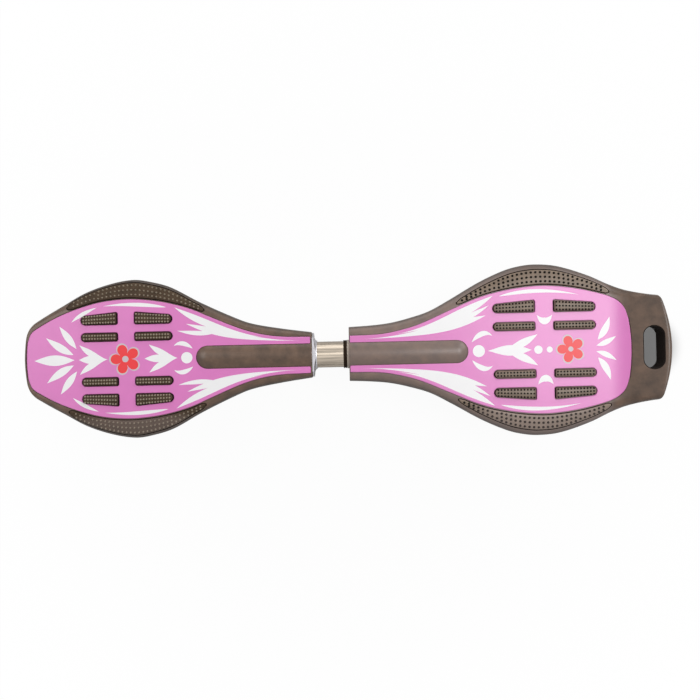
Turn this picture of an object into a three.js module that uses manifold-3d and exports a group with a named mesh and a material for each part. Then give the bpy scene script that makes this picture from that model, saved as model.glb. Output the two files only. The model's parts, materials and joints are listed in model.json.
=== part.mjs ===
// A caster board: two foot decks joined by a sprung torsion tube, each carried on one inclined caster wheel.
// Sizes are in millimetres. +X runs from the nose to the carry handle, +Y is the left side as seen from the nose,
// +Z is up. The origin lies on the ground, under the middle of the board.
import * as THREE from "three";
import { mergeVertices } from "three/addons/utils/BufferGeometryUtils.js";
import Module from "manifold-3d";

const wasm = await Module();
wasm.setup();

const degree = Math.PI / 180;
const quarterTurn = 90 * degree;

// Clearances
const restGap = 0.3; // between two pieces that touch or are seated on each other
const runningGap = 0.3; // radial, between a turning piece and what it turns in
const insertGap = 0.4; // round a soft insert in its pocket
const cutOverrun = 30; // how far a cutting tool runs past the face that it opens

// Decks, seen from above
const frontDeckLength = 383;
const rearDeckLength = 422;
const deckSpacing = 49.3; // waist to waist, where the tube shows
const frontHalfWidth = 105.8;
const rearHalfWidth = 114.4;
const panelEdgeGap = 0.5;
const rimEdgeWidth = 8; // rounded edge where no rail strip widens it
const rimDrop = 11; // how far the rounded rim falls
const sideDraft = 3; // how far the skirt leans in at its foot
const tipRounding = 6;
const rimBlendShare = 0.1; // of the deck's length, past the rail strips

// Decks, seen from the side
const plateThickness = 6;
const wallThickness = 3.5;
const skirtDepth = 26;
const noseDepth = 19;
const handleDepth = 29;
const ribThickness = 3;
const ribHeight = 12;
const panelThickness = 2;
const panelProud = 0.8;
const kickAngle = 18 * degree;
const kickRadius = 50;
const kickLength = 73.5; // from the bend to the end of the handle
const handleSlotLength = 55.5;
const handleSlotWidth = 23.5;
const handleSlotEdge = 10.5; // material left between the slot and the end of the handle
const handleSlotWall = 3.5;

// Grip mats and rail strips
const matThickness = 1.5;
const padProud = 3;
const padBevel = 0.9;
const narrowPadWidth = 10.6;
const widePadWidth = 15.6;
const widePadEndWidth = 11.4;
const narrowPadShare = 0.2295; // of the deck's half width, from the centre line to the pads' near edges
const widePadShare = 0.4387;
const matMargin = 2.4;
const stripInset = 2; // from the panel to the strip
const frontStripEdge = 4.5; // from the strip to the outline of the deck
const rearStripEdge = 6.5;
const stripProud = 0.9;
const stripSeat = 1.6;
const stripTip = 8; // length over which each end narrows

// Torsion tube
const tubeRadius = 17.5;
const tubeWall = 2;
const bushWall = 1.5;
const spineWall = 4.4;
const spineShowsHalfWidth = 14.3; // half the width of the spine that rises through the panel
const frontSpineLength = 152.6;
const rearSpineLength = 157;
const tubeFrontInsert = 118;
const tubeRearInsert = 76;
const bushLength = 22;
const bushProud = 2.5;
const sealWidth = 4.7;
const sealThickness = 1.1;
const collarRadius = 29.5;
const collarPlate = 2;
const collarLength = 6;
const collarNeck = 1.2; // wall of the collar where it meets the tube
const torsionBarRadius = 6;
const torsionKeyWidth = 11;
const anchorLength = 26;
const anchorBoltRadius = 3;
const anchorHeadRadius = 5.6;
const anchorHeadHeight = 4;
const anchorPinDepth = 5; // how far an anchor bolt reaches into the square end of the torsion bar
const clampBoltDepth = 5; // how far the clamp bolt reaches past the tube's wall

// Casters
const wheelBase = 550;
const casterTilt = 30 * degree;
const wheelRadius = 38;
const wheelWidth = 24;
const axleDrop = 57; // from the pivot face to the axle, along the swivel axis
const axleTrail = 28; // from the swivel axis to the axle
const pivotToDeck = 38.6; // from the pivot point up to the foot platform
const bossRadius = 28;
const gussetThickness = 5;
const gussetReach = 34;
const raceRadius = 18;
const raceBore = 10.2;
const raceSeat = 2.6; // depth of the upper race in the boss
const raceProud = 1;
const raceThickness = 3.5;
const ballRingRadius = 16;
const ballRingBore = 11.5;
const ballRingHeight = 3.4;
const sealRingWall = 2;
const crownRadius = 22;
const crownThickness = 5;
const kingpinRadius = 5;
const kingpinHeadRadius = 9.8;
const kingpinHeadHeight = 6.4;
const kingpinNutHeight = 8;
const kingpinThreadShows = 3;
const nutPocketGap = 1.2;
const nutCover = 6.5; // from the platform down to the kingpin's tip

// Forks, axles and wheels
const armThickness = 4;
const armTopFront = 16;
const armTopRear = 20;
const armEndRadius = 11;
const axleWasherThickness = 2.5;
const axleWasherRadius = 7;
const axleRadius = 4;
const axleHeadRadius = 7.4;
const axleHeadHeight = 5.3;
const axleNutHeight = 7.5;
const bearingRadius = 11;
const bearingWidth = 7;
const innerRaceRadius = 6;
const sleeveRadius = 5.8;
const hubRadius = 21;
const hubRimThickness = 2.6;
const hubHousingWall = 3;
const hubShoulder = 2; // step that the bearings seat against
const hubSpokeThickness = 4;
const hubSpokeCount = 5;
const treadRounding = 7;

// Facets
const tubeSides = 24;
const rodSides = 12;
const wheelSides = 28;
const ringSides = 16;
const flatSteps = 2; // points across half of a flat deck section
const rimSteps = 4;
const tipSteps = 3;
const deckSteps = 20;

// Places that follow from the sizes above
const boardLength = frontDeckLength + deckSpacing + rearDeckLength;
const noseX = -boardLength / 2;
const frontWaistX = noseX + frontDeckLength;
const rearWaistX = frontWaistX + deckSpacing;
const pivotHeight = wheelRadius + axleDrop * Math.cos(casterTilt) - axleTrail * Math.sin(casterTilt);
const pivotToWheelX = axleDrop * Math.sin(casterTilt) + axleTrail * Math.cos(casterTilt);
const platformHeight = pivotHeight + pivotToDeck;
const panelSeat = panelThickness - panelProud + restGap; // below the platform
const matSeat = panelSeat + matThickness + restGap;
const boreRadius = tubeRadius + runningGap;
const bushRadius = boreRadius + bushWall;
const rearBoreRadius = bushRadius + restGap;
const spineRadius = rearBoreRadius + spineWall;
const tubeDepth = Math.sqrt(spineRadius ** 2 - spineShowsHalfWidth ** 2) - panelProud;
const tubeHeight = platformHeight - tubeDepth;
const waistDepth = tubeDepth + spineRadius;

// The decks. Each table gives pairs: a share of the deck's length from its waist, then a share of its half
// width.
const frontDeck = {
  name: "front",
  waistX: frontWaistX,
  direction: -1,
  length: frontDeckLength,
  halfWidth: frontHalfWidth,
  outlineShares: [
    [0, 0.288], [0.11, 0.345], [0.215, 0.42], [0.285, 0.52], [0.39, 0.7], [0.49, 0.895],
    [0.56, 0.97], [0.62, 1], [0.7, 0.955], [0.79, 0.843], [0.875, 0.671], [0.945, 0.527],
    [0.975, 0.457], [0.992, 0.375], [1, 0.29],
  ],
  panelShares: [
    [0, 0.226], [0.11, 0.238], [0.18, 0.277], [0.25, 0.352], [0.354, 0.509], [0.424, 0.616],
    [0.51, 0.7], [0.6, 0.742], [0.667, 0.742], [0.736, 0.711], [0.806, 0.642], [0.875, 0.547],
    [0.944, 0.417], [0.975, 0.335], [0.987, 0.23],
  ],
  panelEndShare: 0.987,
  panelBulge: 1.5,
  tipBulge: 2.5,
  tipCornerShare: 1, // of the tip's rounding, taken off its corners as well
  tipDepth: noseDepth,
  kickStart: Infinity,
  stripShares: [0.3725, 0.8455],
  stripEdge: frontStripEdge,
  padShares: [[0.483, 0.612], [0.672, 0.797]], // where each row of pads starts and ends
  spineLength: frontSpineLength,
  boreRadius,
  boreLength: tubeFrontInsert + restGap,
  wheelX: -wheelBase / 2,
  ribShares: [0.33, 0.48, 0.88],
};
const rearDeck = {
  name: "rear",
  waistX: rearWaistX,
  direction: 1,
  length: rearDeckLength,
  halfWidth: rearHalfWidth,
  outlineShares: [
    [0, 0.316], [0.066, 0.328], [0.129, 0.352], [0.192, 0.405], [0.255, 0.479], [0.318, 0.601], [0.413, 0.8],
    [0.49, 0.928], [0.539, 0.979], [0.593, 1], [0.665, 0.975], [0.759, 0.863], [0.822, 0.755], [0.866, 0.687],
    [0.91, 0.642], [0.955, 0.615], [1, 0.6],
  ],
  panelShares: [
    [0, 0.21], [0.098, 0.221], [0.161, 0.261], [0.224, 0.328], [0.318, 0.477], [0.413, 0.622], [0.507, 0.704],
    [0.6, 0.739], [0.665, 0.727], [0.728, 0.692], [0.791, 0.637], [0.83, 0.59], [0.856, 0.53], [0.873, 0.45],
    [0.883, 0.34],
  ],
  panelEndShare: 0.883,
  panelBulge: 3,
  tipBulge: 12.5,
  tipCornerShare: 0.35,
  tipDepth: handleDepth,
  kickStart: rearDeckLength - kickLength,
  stripShares: [0.342, 0.82],
  stripEdge: rearStripEdge,
  padShares: [[0.4545, 0.585], [0.645, 0.775]],
  spineLength: rearSpineLength,
  boreRadius: rearBoreRadius,
  boreLength: tubeRearInsert + anchorLength + 3 * restGap,
  wheelX: wheelBase / 2,
  ribShares: [0.3, 0.66, 0.84],
};

const finishes = {
  deckPlastic: new THREE.MeshStandardMaterial({ color: 0x6b5d52, roughness: 0.62, metalness: 0 }),
  panelPlastic: new THREE.MeshStandardMaterial({ color: 0xdf8cc6, roughness: 0.35, metalness: 0 }),
  gripRubber: new THREE.MeshStandardMaterial({ color: 0x665a50, roughness: 0.8, metalness: 0 }),
  steel: new THREE.MeshStandardMaterial({ color: 0xc9c4ba, roughness: 0.28, metalness: 1 }),
  aluminium: new THREE.MeshStandardMaterial({ color: 0xc4c6c8, roughness: 0.35, metalness: 1 }),
  forkPaint: new THREE.MeshStandardMaterial({ color: 0x2a2a2c, roughness: 0.45, metalness: 0.3 }),
  blackRubber: new THREE.MeshStandardMaterial({ color: 0x231f1c, roughness: 0.75, metalness: 0 }),
  nylon: new THREE.MeshStandardMaterial({ color: 0xb5aaa2, roughness: 0.55, metalness: 0 }),
  hubPlastic: new THREE.MeshStandardMaterial({ color: 0x3a3a3c, roughness: 0.5, metalness: 0 }),
  polyurethane: new THREE.MeshStandardMaterial({ color: 0xe9e6e2, roughness: 0.3, metalness: 0 }),
};

// Solids and shapes

// A closed geometry as a solid whose faces point out.
function solid(geometry) {
  const bare = geometry.clone();
  bare.deleteAttribute("normal");
  bare.deleteAttribute("uv");
  const merged = mergeVertices(bare, 1e-4);
  const vertProperties = new Float32Array(merged.attributes.position.array);
  const triVerts = new Uint32Array(merged.index.array);
  const made = new wasm.Manifold(new wasm.Mesh({ numProp: 3, vertProperties, triVerts }));
  if (made.volume() > 0) return made;
  triVerts.reverse();
  return new wasm.Manifold(new wasm.Mesh({ numProp: 3, vertProperties, triVerts }));
}

function geometryOf(made) {
  const mesh = made.getMesh();
  const geometry = new THREE.BufferGeometry();
  geometry.setAttribute("position", new THREE.BufferAttribute(new Float32Array(mesh.vertProperties), 3));
  geometry.setIndex(new THREE.BufferAttribute(new Uint32Array(mesh.triVerts), 1));
  geometry.computeVertexNormals();
  return geometry;
}

function united(parts) {
  return parts.reduce((whole, part) => whole.add(part));
}

function piece(name, shape, finish) {
  const made = shape.isBufferGeometry ? solid(shape) : shape;
  const mesh = new THREE.Mesh(geometryOf(made), finish);
  mesh.name = name;
  return mesh;
}

// Turns a shape that was made round the Z axis so that it lies round another axis.
function laidAlong(geometry, axis) {
  if (axis === "x") return geometry.rotateY(quarterTurn);
  if (axis === "y") return geometry.rotateX(-quarterTurn);
  return geometry;
}

// A rod from one place to another along an axis.
function rod(radius, from, to, axis = "z", sides = rodSides) {
  const geometry = new THREE.CylinderGeometry(radius, radius, to - from, sides).rotateX(quarterTurn);
  return laidAlong(geometry.translate(0, 0, (from + to) / 2), axis);
}

// A turned piece: pairs of a radius and a place along the axis. A profile off the axis closes on itself.
function turned(profile, axis = "z", sides = ringSides) {
  const points = profile.map(([radius, place]) => new THREE.Vector2(radius, place));
  if (points[0].x > 0) points.push(points[0].clone());
  return laidAlong(new THREE.LatheGeometry(points, sides).rotateX(quarterTurn), axis);
}

function ring(outer, inner, from, to, axis = "z", sides = ringSides) {
  return turned([[inner, from], [outer, from], [outer, to], [inner, to]], axis, sides);
}

function block(lowX, highX, lowY, highY, lowZ, highZ) {
  const geometry = new THREE.BoxGeometry(highX - lowX, highY - lowY, highZ - lowZ);
  return geometry.translate((lowX + highX) / 2, (lowY + highY) / 2, (lowZ + highZ) / 2);
}

// A flat shape in X and Y, raised from one height to another.
function raised(shape, from, to, extra = {}) {
  const geometry = new THREE.ExtrudeGeometry(shape, {
    depth: to - from, bevelEnabled: false, curveSegments: 4, ...extra,
  });
  return geometry.translate(0, 0, from);
}

// A smooth function through pairs of numbers, with slopes taken from each point's neighbours.
function curveThrough(points) {
  const slopes = points.map((point, i) => {
    const before = points[Math.max(i - 1, 0)];
    const after = points[Math.min(i + 1, points.length - 1)];
    return (after[1] - before[1]) / (after[0] - before[0]);
  });
  return (x) => {
    let i = points.findIndex((point) => point[0] > x) - 1;
    if (i < -1 || x >= points[points.length - 1][0]) return points[points.length - 1][1];
    i = Math.max(i, 0);
    const [x0, y0] = points[i];
    const [x1, y1] = points[i + 1];
    const t = Math.max((x - x0) / (x1 - x0), 0);
    const rise = (slopes[i] * (1 - t) - slopes[i + 1] * t) * (x1 - x0) * t * (1 - t);
    return y0 + (y1 - y0) * t * t * (3 - 2 * t) + rise;
  };
}

// A solid through closed rings of equally many points, with its two ends closed.
function loft(rings) {
  const count = rings[0].length;
  const positions = rings.flat().flatMap((point) => [point.x, point.y, point.z]);
  const faces = [];
  for (let r = 0; r + 1 < rings.length; r += 1) {
    for (let i = 0; i < count; i += 1) {
      const a = r * count + i;
      const b = r * count + ((i + 1) % count);
      faces.push(a, b, a + count, b, b + count, a + count);
    }
  }
  const flat = (ringPoints) => ringPoints.map((point) => new THREE.Vector2(point.y, point.z));
  const cap = (ringPoints) => THREE.ShapeUtils.triangulateShape(flat(ringPoints), []);
  const last = (rings.length - 1) * count;
  const turnsLeft = THREE.ShapeUtils.area(flat(rings[0])) > 0;
  const start = cap(rings[0]).map((face) => (turnsLeft ? [...face].reverse() : face));
  const end = cap(rings[rings.length - 1]).map((face) => (turnsLeft ? face : [...face].reverse()));
  for (const face of start) faces.push(...face);
  for (const face of end) faces.push(...face.map((index) => index + last));
  const geometry = new THREE.BufferGeometry();
  geometry.setAttribute("position", new THREE.Float32BufferAttribute(positions, 3));
  geometry.setIndex(faces);
  return geometry;
}

// Deck surfaces

function placeAlong(deck, share) {
  return deck.waistX + deck.direction * share * deck.length;
}

// The places along a deck where its sections are cut: even steps, then close ones round the tip.
function stations(deck) {
  const straight = deck.length - tipRounding;
  const even = Array.from({ length: deckSteps + 1 }, (_, i) => (straight * i) / deckSteps);
  const tip = Array.from({ length: tipSteps }, (_, i) => {
    return straight + tipRounding * Math.sin(((i + 1) / tipSteps) * quarterTurn);
  });
  return [...even, ...tip];
}

// How much the rounding at the tip takes off at a place along the deck.
function tipFall(deck, u) {
  const into = Math.min(Math.max((u - deck.length + tipRounding) / tipRounding, 0), 1);
  return tipRounding * (1 - Math.sqrt(1 - into ** 2));
}

const outlineOf = new Map();
const panelOutlineOf = new Map();
const depthOf = new Map();
for (const deck of [frontDeck, rearDeck]) {
  outlineOf.set(deck, curveThrough(deck.outlineShares));
  panelOutlineOf.set(deck, curveThrough(deck.panelShares));
  depthOf.set(deck, curveThrough([
    [0, waistDepth], [0.1, waistDepth], [0.24, (waistDepth + skirtDepth) / 2], [0.38, skirtDepth],
    [0.8, skirtDepth], [1, deck.tipDepth],
  ]));
}

function halfWidthAt(deck, u) {
  return outlineOf.get(deck)(u / deck.length) * deck.halfWidth - deck.tipCornerShare * tipFall(deck, u);
}

function panelHalfAt(deck, u) {
  return panelOutlineOf.get(deck)(u / deck.length) * deck.halfWidth;
}

// Where the flat top gives way to the rounded rim: at the panel's edge, and near the tip a fixed width from
// the outline.
function rimStartAt(deck, u) {
  const width = halfWidthAt(deck, u);
  const besidePanel = width - panelHalfAt(deck, u) - panelEdgeGap;
  const toTip = Math.min(Math.max((u / deck.length - deck.stripShares[1]) / rimBlendShare, 0), 1);
  return width - besidePanel * (1 - toTip) - rimEdgeWidth * toTip;
}

// The platform's height: flat, then an arc, then the straight slope of the kick.
function topAt(deck, u) {
  const past = u - deck.kickStart;
  const arc = kickRadius * Math.sin(kickAngle);
  if (past <= 0) return platformHeight;
  if (past < arc) return platformHeight + kickRadius - Math.sqrt(kickRadius ** 2 - past ** 2);
  return platformHeight + kickRadius * (1 - Math.cos(kickAngle)) + (past - arc) * Math.tan(kickAngle);
}

function skirtFootAt(deck, u) {
  return topAt(deck, u) - depthOf.get(deck)(u / deck.length);
}

// The sections near the tip bow outwards, so that the end of the deck is an arc.
function bowAt(deck, u, bulge, endShare) {
  const startShare = endShare - 0.12;
  const t = Math.min(Math.max((u / deck.length - startShare) / (endShare - startShare), 0), 1);
  return bulge * t * t;
}

// Places a section's point: how far along the deck, how far to the side, and its height.
function deckPoint(deck, u, y, z) {
  return new THREE.Vector3(deck.waistX + deck.direction * u, y, z);
}

// Completes a half section, given from the centre's top to the centre's foot, with its mirror image.
function mirrored(half) {
  const other = half.slice(1, -1).reverse().map((point) => new THREE.Vector3(point.x, -point.y, point.z));
  return [...half, ...other];
}

function acrossHalf(reach) {
  return Array.from({ length: flatSteps + 1 }, (_, i) => (reach * i) / flatSteps);
}

// One closed section of the deck's outer body.
function outerSection(deck, u) {
  const width = halfWidthAt(deck, u);
  const rimStart = rimStartAt(deck, u);
  const bow = bowAt(deck, u, deck.tipBulge, 1);
  const fall = tipFall(deck, u);
  const at = (y, drop) => {
    const place = u - bow * (y / width) ** 2;
    return deckPoint(deck, place, y, topAt(deck, place) - fall - drop);
  };
  const half = acrossHalf(rimStart).map((y) => at(y, 0));
  for (let i = 1; i <= rimSteps; i += 1) {
    const turn = (i / rimSteps) * quarterTurn;
    half.push(at(rimStart + (width - rimStart) * Math.sin(turn), (rimDrop - fall) * (1 - Math.cos(turn))));
  }
  for (const y of acrossHalf(width - sideDraft).reverse()) {
    const place = u - bow * (y / width) ** 2;
    half.push(deckPoint(deck, place, y, skirtFootAt(deck, place)));
  }
  return mirrored(half);
}

// One closed section of the space under the deck's plate.
function cavitySection(deck, u) {
  const width = halfWidthAt(deck, u);
  const rimStart = rimStartAt(deck, u);
  const bow = bowAt(deck, u, deck.tipBulge, 1);
  const at = (y, height) => deckPoint(deck, u - bow * (y / width) ** 2, y, height);
  const ceiling = topAt(deck, u) - plateThickness;
  const half = acrossHalf(rimStart - wallThickness).map((y) => at(y, ceiling));
  half.push(at(width - sideDraft - wallThickness, ceiling - rimDrop));
  half.push(at(width - sideDraft - wallThickness, skirtFootAt(deck, u) - cutOverrun));
  half.push(at(0, skirtFootAt(deck, u) - cutOverrun));
  return mirrored(half);
}

// Rings come in order along +X, so that a deck that runs the other way is reversed.
function alongDeck(deck, places, section) {
  const rings = places.map((u) => section(deck, u));
  return deck.direction > 0 ? rings : rings.reverse();
}

// Panels

function panelPlaces(deck, grow) {
  const end = deck.panelEndShare * deck.length;
  const places = stations(deck).filter((u) => u > 0 && u < end - tipRounding);
  const tip = Array.from({ length: tipSteps + 1 }, (_, i) => end - tipRounding * (1 - i / tipSteps));
  return [grow > 0 ? -cutOverrun : 0, ...places, ...tip, ...(grow > 0 ? [end + grow] : [])];
}

// A panel's body, or with grow above 0 the tool that cuts its seat.
function panelBody(deck, grow, lowerBy, raiseBy) {
  const section = (_, u) => {
    const end = deck.panelEndShare * deck.length;
    const width = panelHalfAt(deck, Math.max(u, 0)) + grow;
    const bow = bowAt(deck, u, deck.panelBulge, deck.panelEndShare);
    const at = (y, rise) => {
      const place = u - bow * (y / width) ** 2;
      return deckPoint(deck, place, y, topAt(deck, Math.min(place, end)) + rise);
    };
    const upper = acrossHalf(width).map((y) => at(y, raiseBy));
    const lower = acrossHalf(width).reverse().map((y) => at(y, -lowerBy));
    return mirrored([...upper, ...lower]);
  };
  return solid(loft(alongDeck(deck, panelPlaces(deck, grow), section)));
}

// The spine: a capsule round the tube's axis, from the waist to a round end. It rises through the panel.
function spineBody(deck, grow) {
  const centre = deck.spineLength - spineShowsHalfWidth;
  const radius = spineRadius + grow;
  const steps = 4;
  const profile = [[0, grow > 0 ? -cutOverrun : 0], [radius, grow > 0 ? -cutOverrun : 0], [radius, centre]];
  for (let i = 1; i <= steps; i += 1) {
    const turn = (i / steps) * quarterTurn;
    profile.push([i === steps ? 0 : radius * Math.cos(turn), centre + radius * Math.sin(turn)]);
  }
  const geometry = turned(profile, "x", tubeSides);
  if (deck.direction < 0) geometry.rotateZ(2 * quarterTurn);
  return solid(geometry.translate(deck.waistX, 0, tubeHeight));
}

function padOffsets(deck) {
  return [narrowPadShare, widePadShare].map((share) => share * deck.halfWidth);
}

// Pads. Each pad is square where it faces the other row, and round at its far end.
function padOutline(gapX, endX, nearY, gapWidth, endWidth, grow) {
  const way = Math.sign(endX - gapX);
  const round = endWidth / 2;
  const shape = new THREE.Shape();
  shape.moveTo(gapX - way * grow, nearY - grow);
  shape.lineTo(endX - way * round, nearY - grow);
  shape.absarc(endX - way * round, nearY + round, round + grow, -quarterTurn, quarterTurn, way < 0);
  shape.lineTo(gapX - way * grow, nearY + gapWidth + grow);
  shape.closePath();
  return shape;
}

// The four pads on one side of a deck, as flat outlines on the +Y side.
function padOutlines(deck, grow) {
  const rows = deck.padShares.map((row) => row.map((share) => placeAlong(deck, share)));
  const [[farLow, gapLow], [gapHigh, farHigh]] = rows;
  const [narrowOffset, wideOffset] = padOffsets(deck);
  const pads = [];
  for (const [gapX, endX] of [[gapLow, farLow], [gapHigh, farHigh]]) {
    pads.push(padOutline(gapX, endX, narrowOffset, narrowPadWidth, narrowPadWidth, grow));
    pads.push(padOutline(gapX, endX, wideOffset, widePadWidth, widePadEndWidth, grow));
  }
  return pads;
}

function onSide(geometry, side) {
  return side > 0 ? geometry : geometry.scale(1, -1, 1);
}

function matCarrier(deck, grow, from, to) {
  const ends = [deck.padShares[0][0], deck.padShares[1][1]];
  const places = ends.map((share) => placeAlong(deck, share)).sort((a, b) => a - b);
  const margin = matMargin + grow;
  const [narrowOffset, wideOffset] = padOffsets(deck);
  const lowY = narrowOffset - margin;
  return block(places[0] - margin, places[1] + margin, lowY, wideOffset + widePadWidth + margin, from, to);
}

function gripMat(deck, side) {
  const bevel = {
    bevelEnabled: true,
    bevelThickness: padBevel,
    bevelSize: padBevel,
    bevelOffset: -padBevel,
    bevelSegments: 1,
  };
  const foot = platformHeight - matSeat + restGap;
  const top = platformHeight + panelProud + padProud;
  const carrier = solid(onSide(matCarrier(deck, 0, foot, foot + matThickness), side));
  const pads = padOutlines(deck, 0).map((outline) => {
    return solid(onSide(raised(outline, foot + padBevel, top - padBevel, bevel), side));
  });
  return united([carrier, ...pads]);
}

// Rail strips: lens-shaped inserts that lie on the rim's curve.

// A point at a distance from the centre line on the rim's curve, raised by an amount square to the curve.
function rimPoint(deck, u, y, raise) {
  const width = halfWidthAt(deck, u);
  const rimStart = rimStartAt(deck, u);
  const turn = Math.asin(Math.min(Math.max((y - rimStart) / (width - rimStart), 0), 1));
  const slopeY = (width - rimStart) * Math.cos(turn);
  const slopeZ = rimDrop * Math.sin(turn);
  const length = Math.hypot(slopeY, slopeZ);
  const height = topAt(deck, u) - rimDrop * (1 - Math.cos(turn));
  return deckPoint(deck, u, y + (raise * slopeZ) / length, height + (raise * slopeY) / length);
}

function stripBody(deck, side, grow, sink, raise) {
  const [from, to] = deck.stripShares.map((share) => share * deck.length);
  const nearTip = Array.from({ length: tipSteps }, (_, i) => {
    const turn = (quarterTurn * (i + 1)) / (tipSteps + 1);
    return [stripTip * (1 - Math.cos(turn)), Math.sin(turn)];
  });
  const steps = 10;
  const middle = Array.from({ length: steps + 1 }, (_, i) => {
    return [from + stripTip + ((to - from - 2 * stripTip) * i) / steps, 1];
  });
  const places = [
    ...nearTip.map(([back, narrow]) => [from - grow + back, narrow]),
    ...middle,
    ...nearTip.reverse().map(([back, narrow]) => [to + grow - back, narrow]),
  ];
  const section = (_, [u, narrow]) => {
    const inner = rimStartAt(deck, u) + stripInset;
    const outer = halfWidthAt(deck, u) - deck.stripEdge;
    const centre = (inner + outer) / 2;
    const reach = ((outer - inner) / 2) * narrow + grow;
    const across = Array.from({ length: rimSteps + 1 }, (_, i) => centre + reach * ((2 * i) / rimSteps - 1));
    const upper = across.map((y) => rimPoint(deck, u, y, raise));
    const lower = [...across].reverse().map((y) => rimPoint(deck, u, y, -sink));
    return [...upper, ...lower];
  };
  return solid(onSide(loft(alongDeck(deck, places, section)), side));
}

// Deck shells

// Moves a shape made round a caster's swivel axis to its place under a deck. Its origin is the pivot point.
function toPivot(geometry, wheelX) {
  return geometry.rotateY(-casterTilt).translate(wheelX - pivotToWheelX, 0, pivotHeight);
}

function ribs(deck) {
  const lowZ = platformHeight - plateThickness - ribHeight;
  const highZ = platformHeight + cutOverrun;
  const reach = deck.halfWidth + cutOverrun;
  const across = deck.ribShares.map((share) => {
    const x = placeAlong(deck, share);
    return solid(block(x - ribThickness / 2, x + ribThickness / 2, -reach, reach, lowZ, highZ));
  });
  const ends = [0, 1].map((share) => placeAlong(deck, share)).sort((a, b) => a - b);
  const ribPlaceShares = [-0.5, 0, 0.5];
  const lengthwise = ribPlaceShares.map((share) => {
    const y = share * deck.halfWidth;
    return solid(block(ends[0], ends[1], y - ribThickness / 2, y + ribThickness / 2, lowZ, highZ));
  });
  return united([...across, ...lengthwise]);
}

// Triangular webs that brace the caster's boss against the underside of the deck.
function gussets(deck) {
  const pivotX = deck.wheelX - pivotToWheelX;
  const ceiling = platformHeight - plateThickness / 2;
  const brace = (reach, foot, turn) => {
    const shape = new THREE.Shape();
    shape.moveTo(0, foot);
    shape.lineTo(reach / 3, foot);
    shape.lineTo(reach + gussetReach, ceiling);
    shape.lineTo(0, ceiling);
    shape.closePath();
    const geometry = new THREE.ExtrudeGeometry(shape, { depth: gussetThickness, bevelEnabled: false });
    geometry.translate(0, 0, -gussetThickness / 2).rotateX(quarterTurn).rotateZ(turn);
    return solid(geometry.translate(pivotX - (ceiling - pivotHeight) * Math.tan(casterTilt) / 2, 0, 0));
  };
  const sideFoot = pivotHeight + raceSeat + crownThickness;
  return united([
    brace(bossRadius, sideFoot, quarterTurn),
    brace(bossRadius, sideFoot, -quarterTurn),
    brace(bossRadius, pivotHeight, 2 * quarterTurn),
  ]);
}

const bossLength = (pivotToDeck + bossRadius * Math.sin(casterTilt)) / Math.cos(casterTilt);
const kingpinTip = (pivotToDeck - nutCover - kingpinRadius * Math.sin(casterTilt)) / Math.cos(casterTilt);
const kingpinNutTop = kingpinTip - kingpinThreadShows;
const kingpinNutFoot = kingpinNutTop - kingpinNutHeight;

function handleSlot(deck, grow, from, to) {
  const centre = deck.waistX + deck.length - handleSlotEdge - handleSlotWidth / 2;
  const radius = handleSlotWidth / 2;
  const straight = handleSlotLength / 2 - radius;
  const shape = new THREE.Shape();
  shape.absarc(centre, straight, radius + grow, 0, 2 * quarterTurn, false);
  shape.absarc(centre, -straight, radius + grow, 2 * quarterTurn, 4 * quarterTurn, false);
  shape.closePath();
  return solid(raised(shape, from, to));
}

function deckShell(deck) {
  const outer = solid(loft(alongDeck(deck, stations(deck), outerSection)));
  const cavityPlaces = stations(deck)
    .filter((u) => u > wallThickness && u < deck.length - tipRounding - wallThickness)
    .concat(deck.length - tipRounding - wallThickness);
  const cavity = solid(loft(alongDeck(deck, [wallThickness, ...cavityPlaces], cavitySection)));
  const boss = solid(toPivot(rod(bossRadius, 0, bossLength, "z", tubeSides), deck.wheelX));
  let body = outer.subtract(cavity.subtract(ribs(deck))).add(boss).add(gussets(deck));
  body = body.subtract(panelBody(deck, panelEdgeGap, panelSeat, cutOverrun));
  body = body.add(spineBody(deck, 0));
  if (deck === rearDeck) {
    const end = deck.length - handleSlotEdge - handleSlotWidth / 2;
    const sleeve = handleSlot(deck, handleSlotWall, skirtFootAt(deck, end), topAt(deck, end) + cutOverrun);
    body = body.add(sleeve.intersect(outer));
    body = body.subtract(handleSlot(deck, 0, 0, platformHeight + 3 * cutOverrun));
  }
  for (const side of [1, -1]) {
    const pocket = onSide(matCarrier(deck, insertGap, platformHeight - matSeat, platformHeight), side);
    body = body.subtract(solid(pocket).subtract(spineBody(deck, 0)));
    body = body.subtract(stripBody(deck, side, insertGap, stripSeat + restGap, stripSeat + stripProud));
  }
  const bore = rod(deck.boreRadius, -cutOverrun, deck.boreLength, "x", tubeSides);
  if (deck.direction < 0) bore.rotateZ(2 * quarterTurn);
  body = body.subtract(solid(bore.translate(deck.waistX, 0, tubeHeight)));
  const kingpinHole = rod(kingpinRadius + restGap, -cutOverrun, bossLength);
  const nutPocket = rod(kingpinHeadRadius + nutPocketGap, kingpinNutFoot - restGap, bossLength + cutOverrun);
  const raceHole = rod(raceRadius + restGap, -cutOverrun, raceSeat + restGap, "z", ringSides);
  for (const hole of [kingpinHole, nutPocket, raceHole]) {
    body = body.subtract(solid(toPivot(hole, deck.wheelX)));
  }
  for (const x of anchorPlaces(deck)) body = body.subtract(boltHole(x, 0).translate([0, 0, tubeHeight]));
  return largestBody(body);
}

// Cutting can leave loose slivers in a pocket's corner, so only the main body is kept.
function largestBody(made) {
  return made.decompose().sort((a, b) => b.volume() - a.volume())[0];
}

function deckPanel(deck) {
  let body = panelBody(deck, 0, panelThickness - panelProud, panelProud).subtract(spineBody(deck, restGap));
  for (const outline of padOutlines(deck, insertGap)) {
    for (const side of [1, -1]) {
      const slot = raised(outline, platformHeight - cutOverrun, platformHeight + cutOverrun);
      body = body.subtract(solid(onSide(slot, side)));
    }
  }
  return largestBody(body);
}

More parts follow.
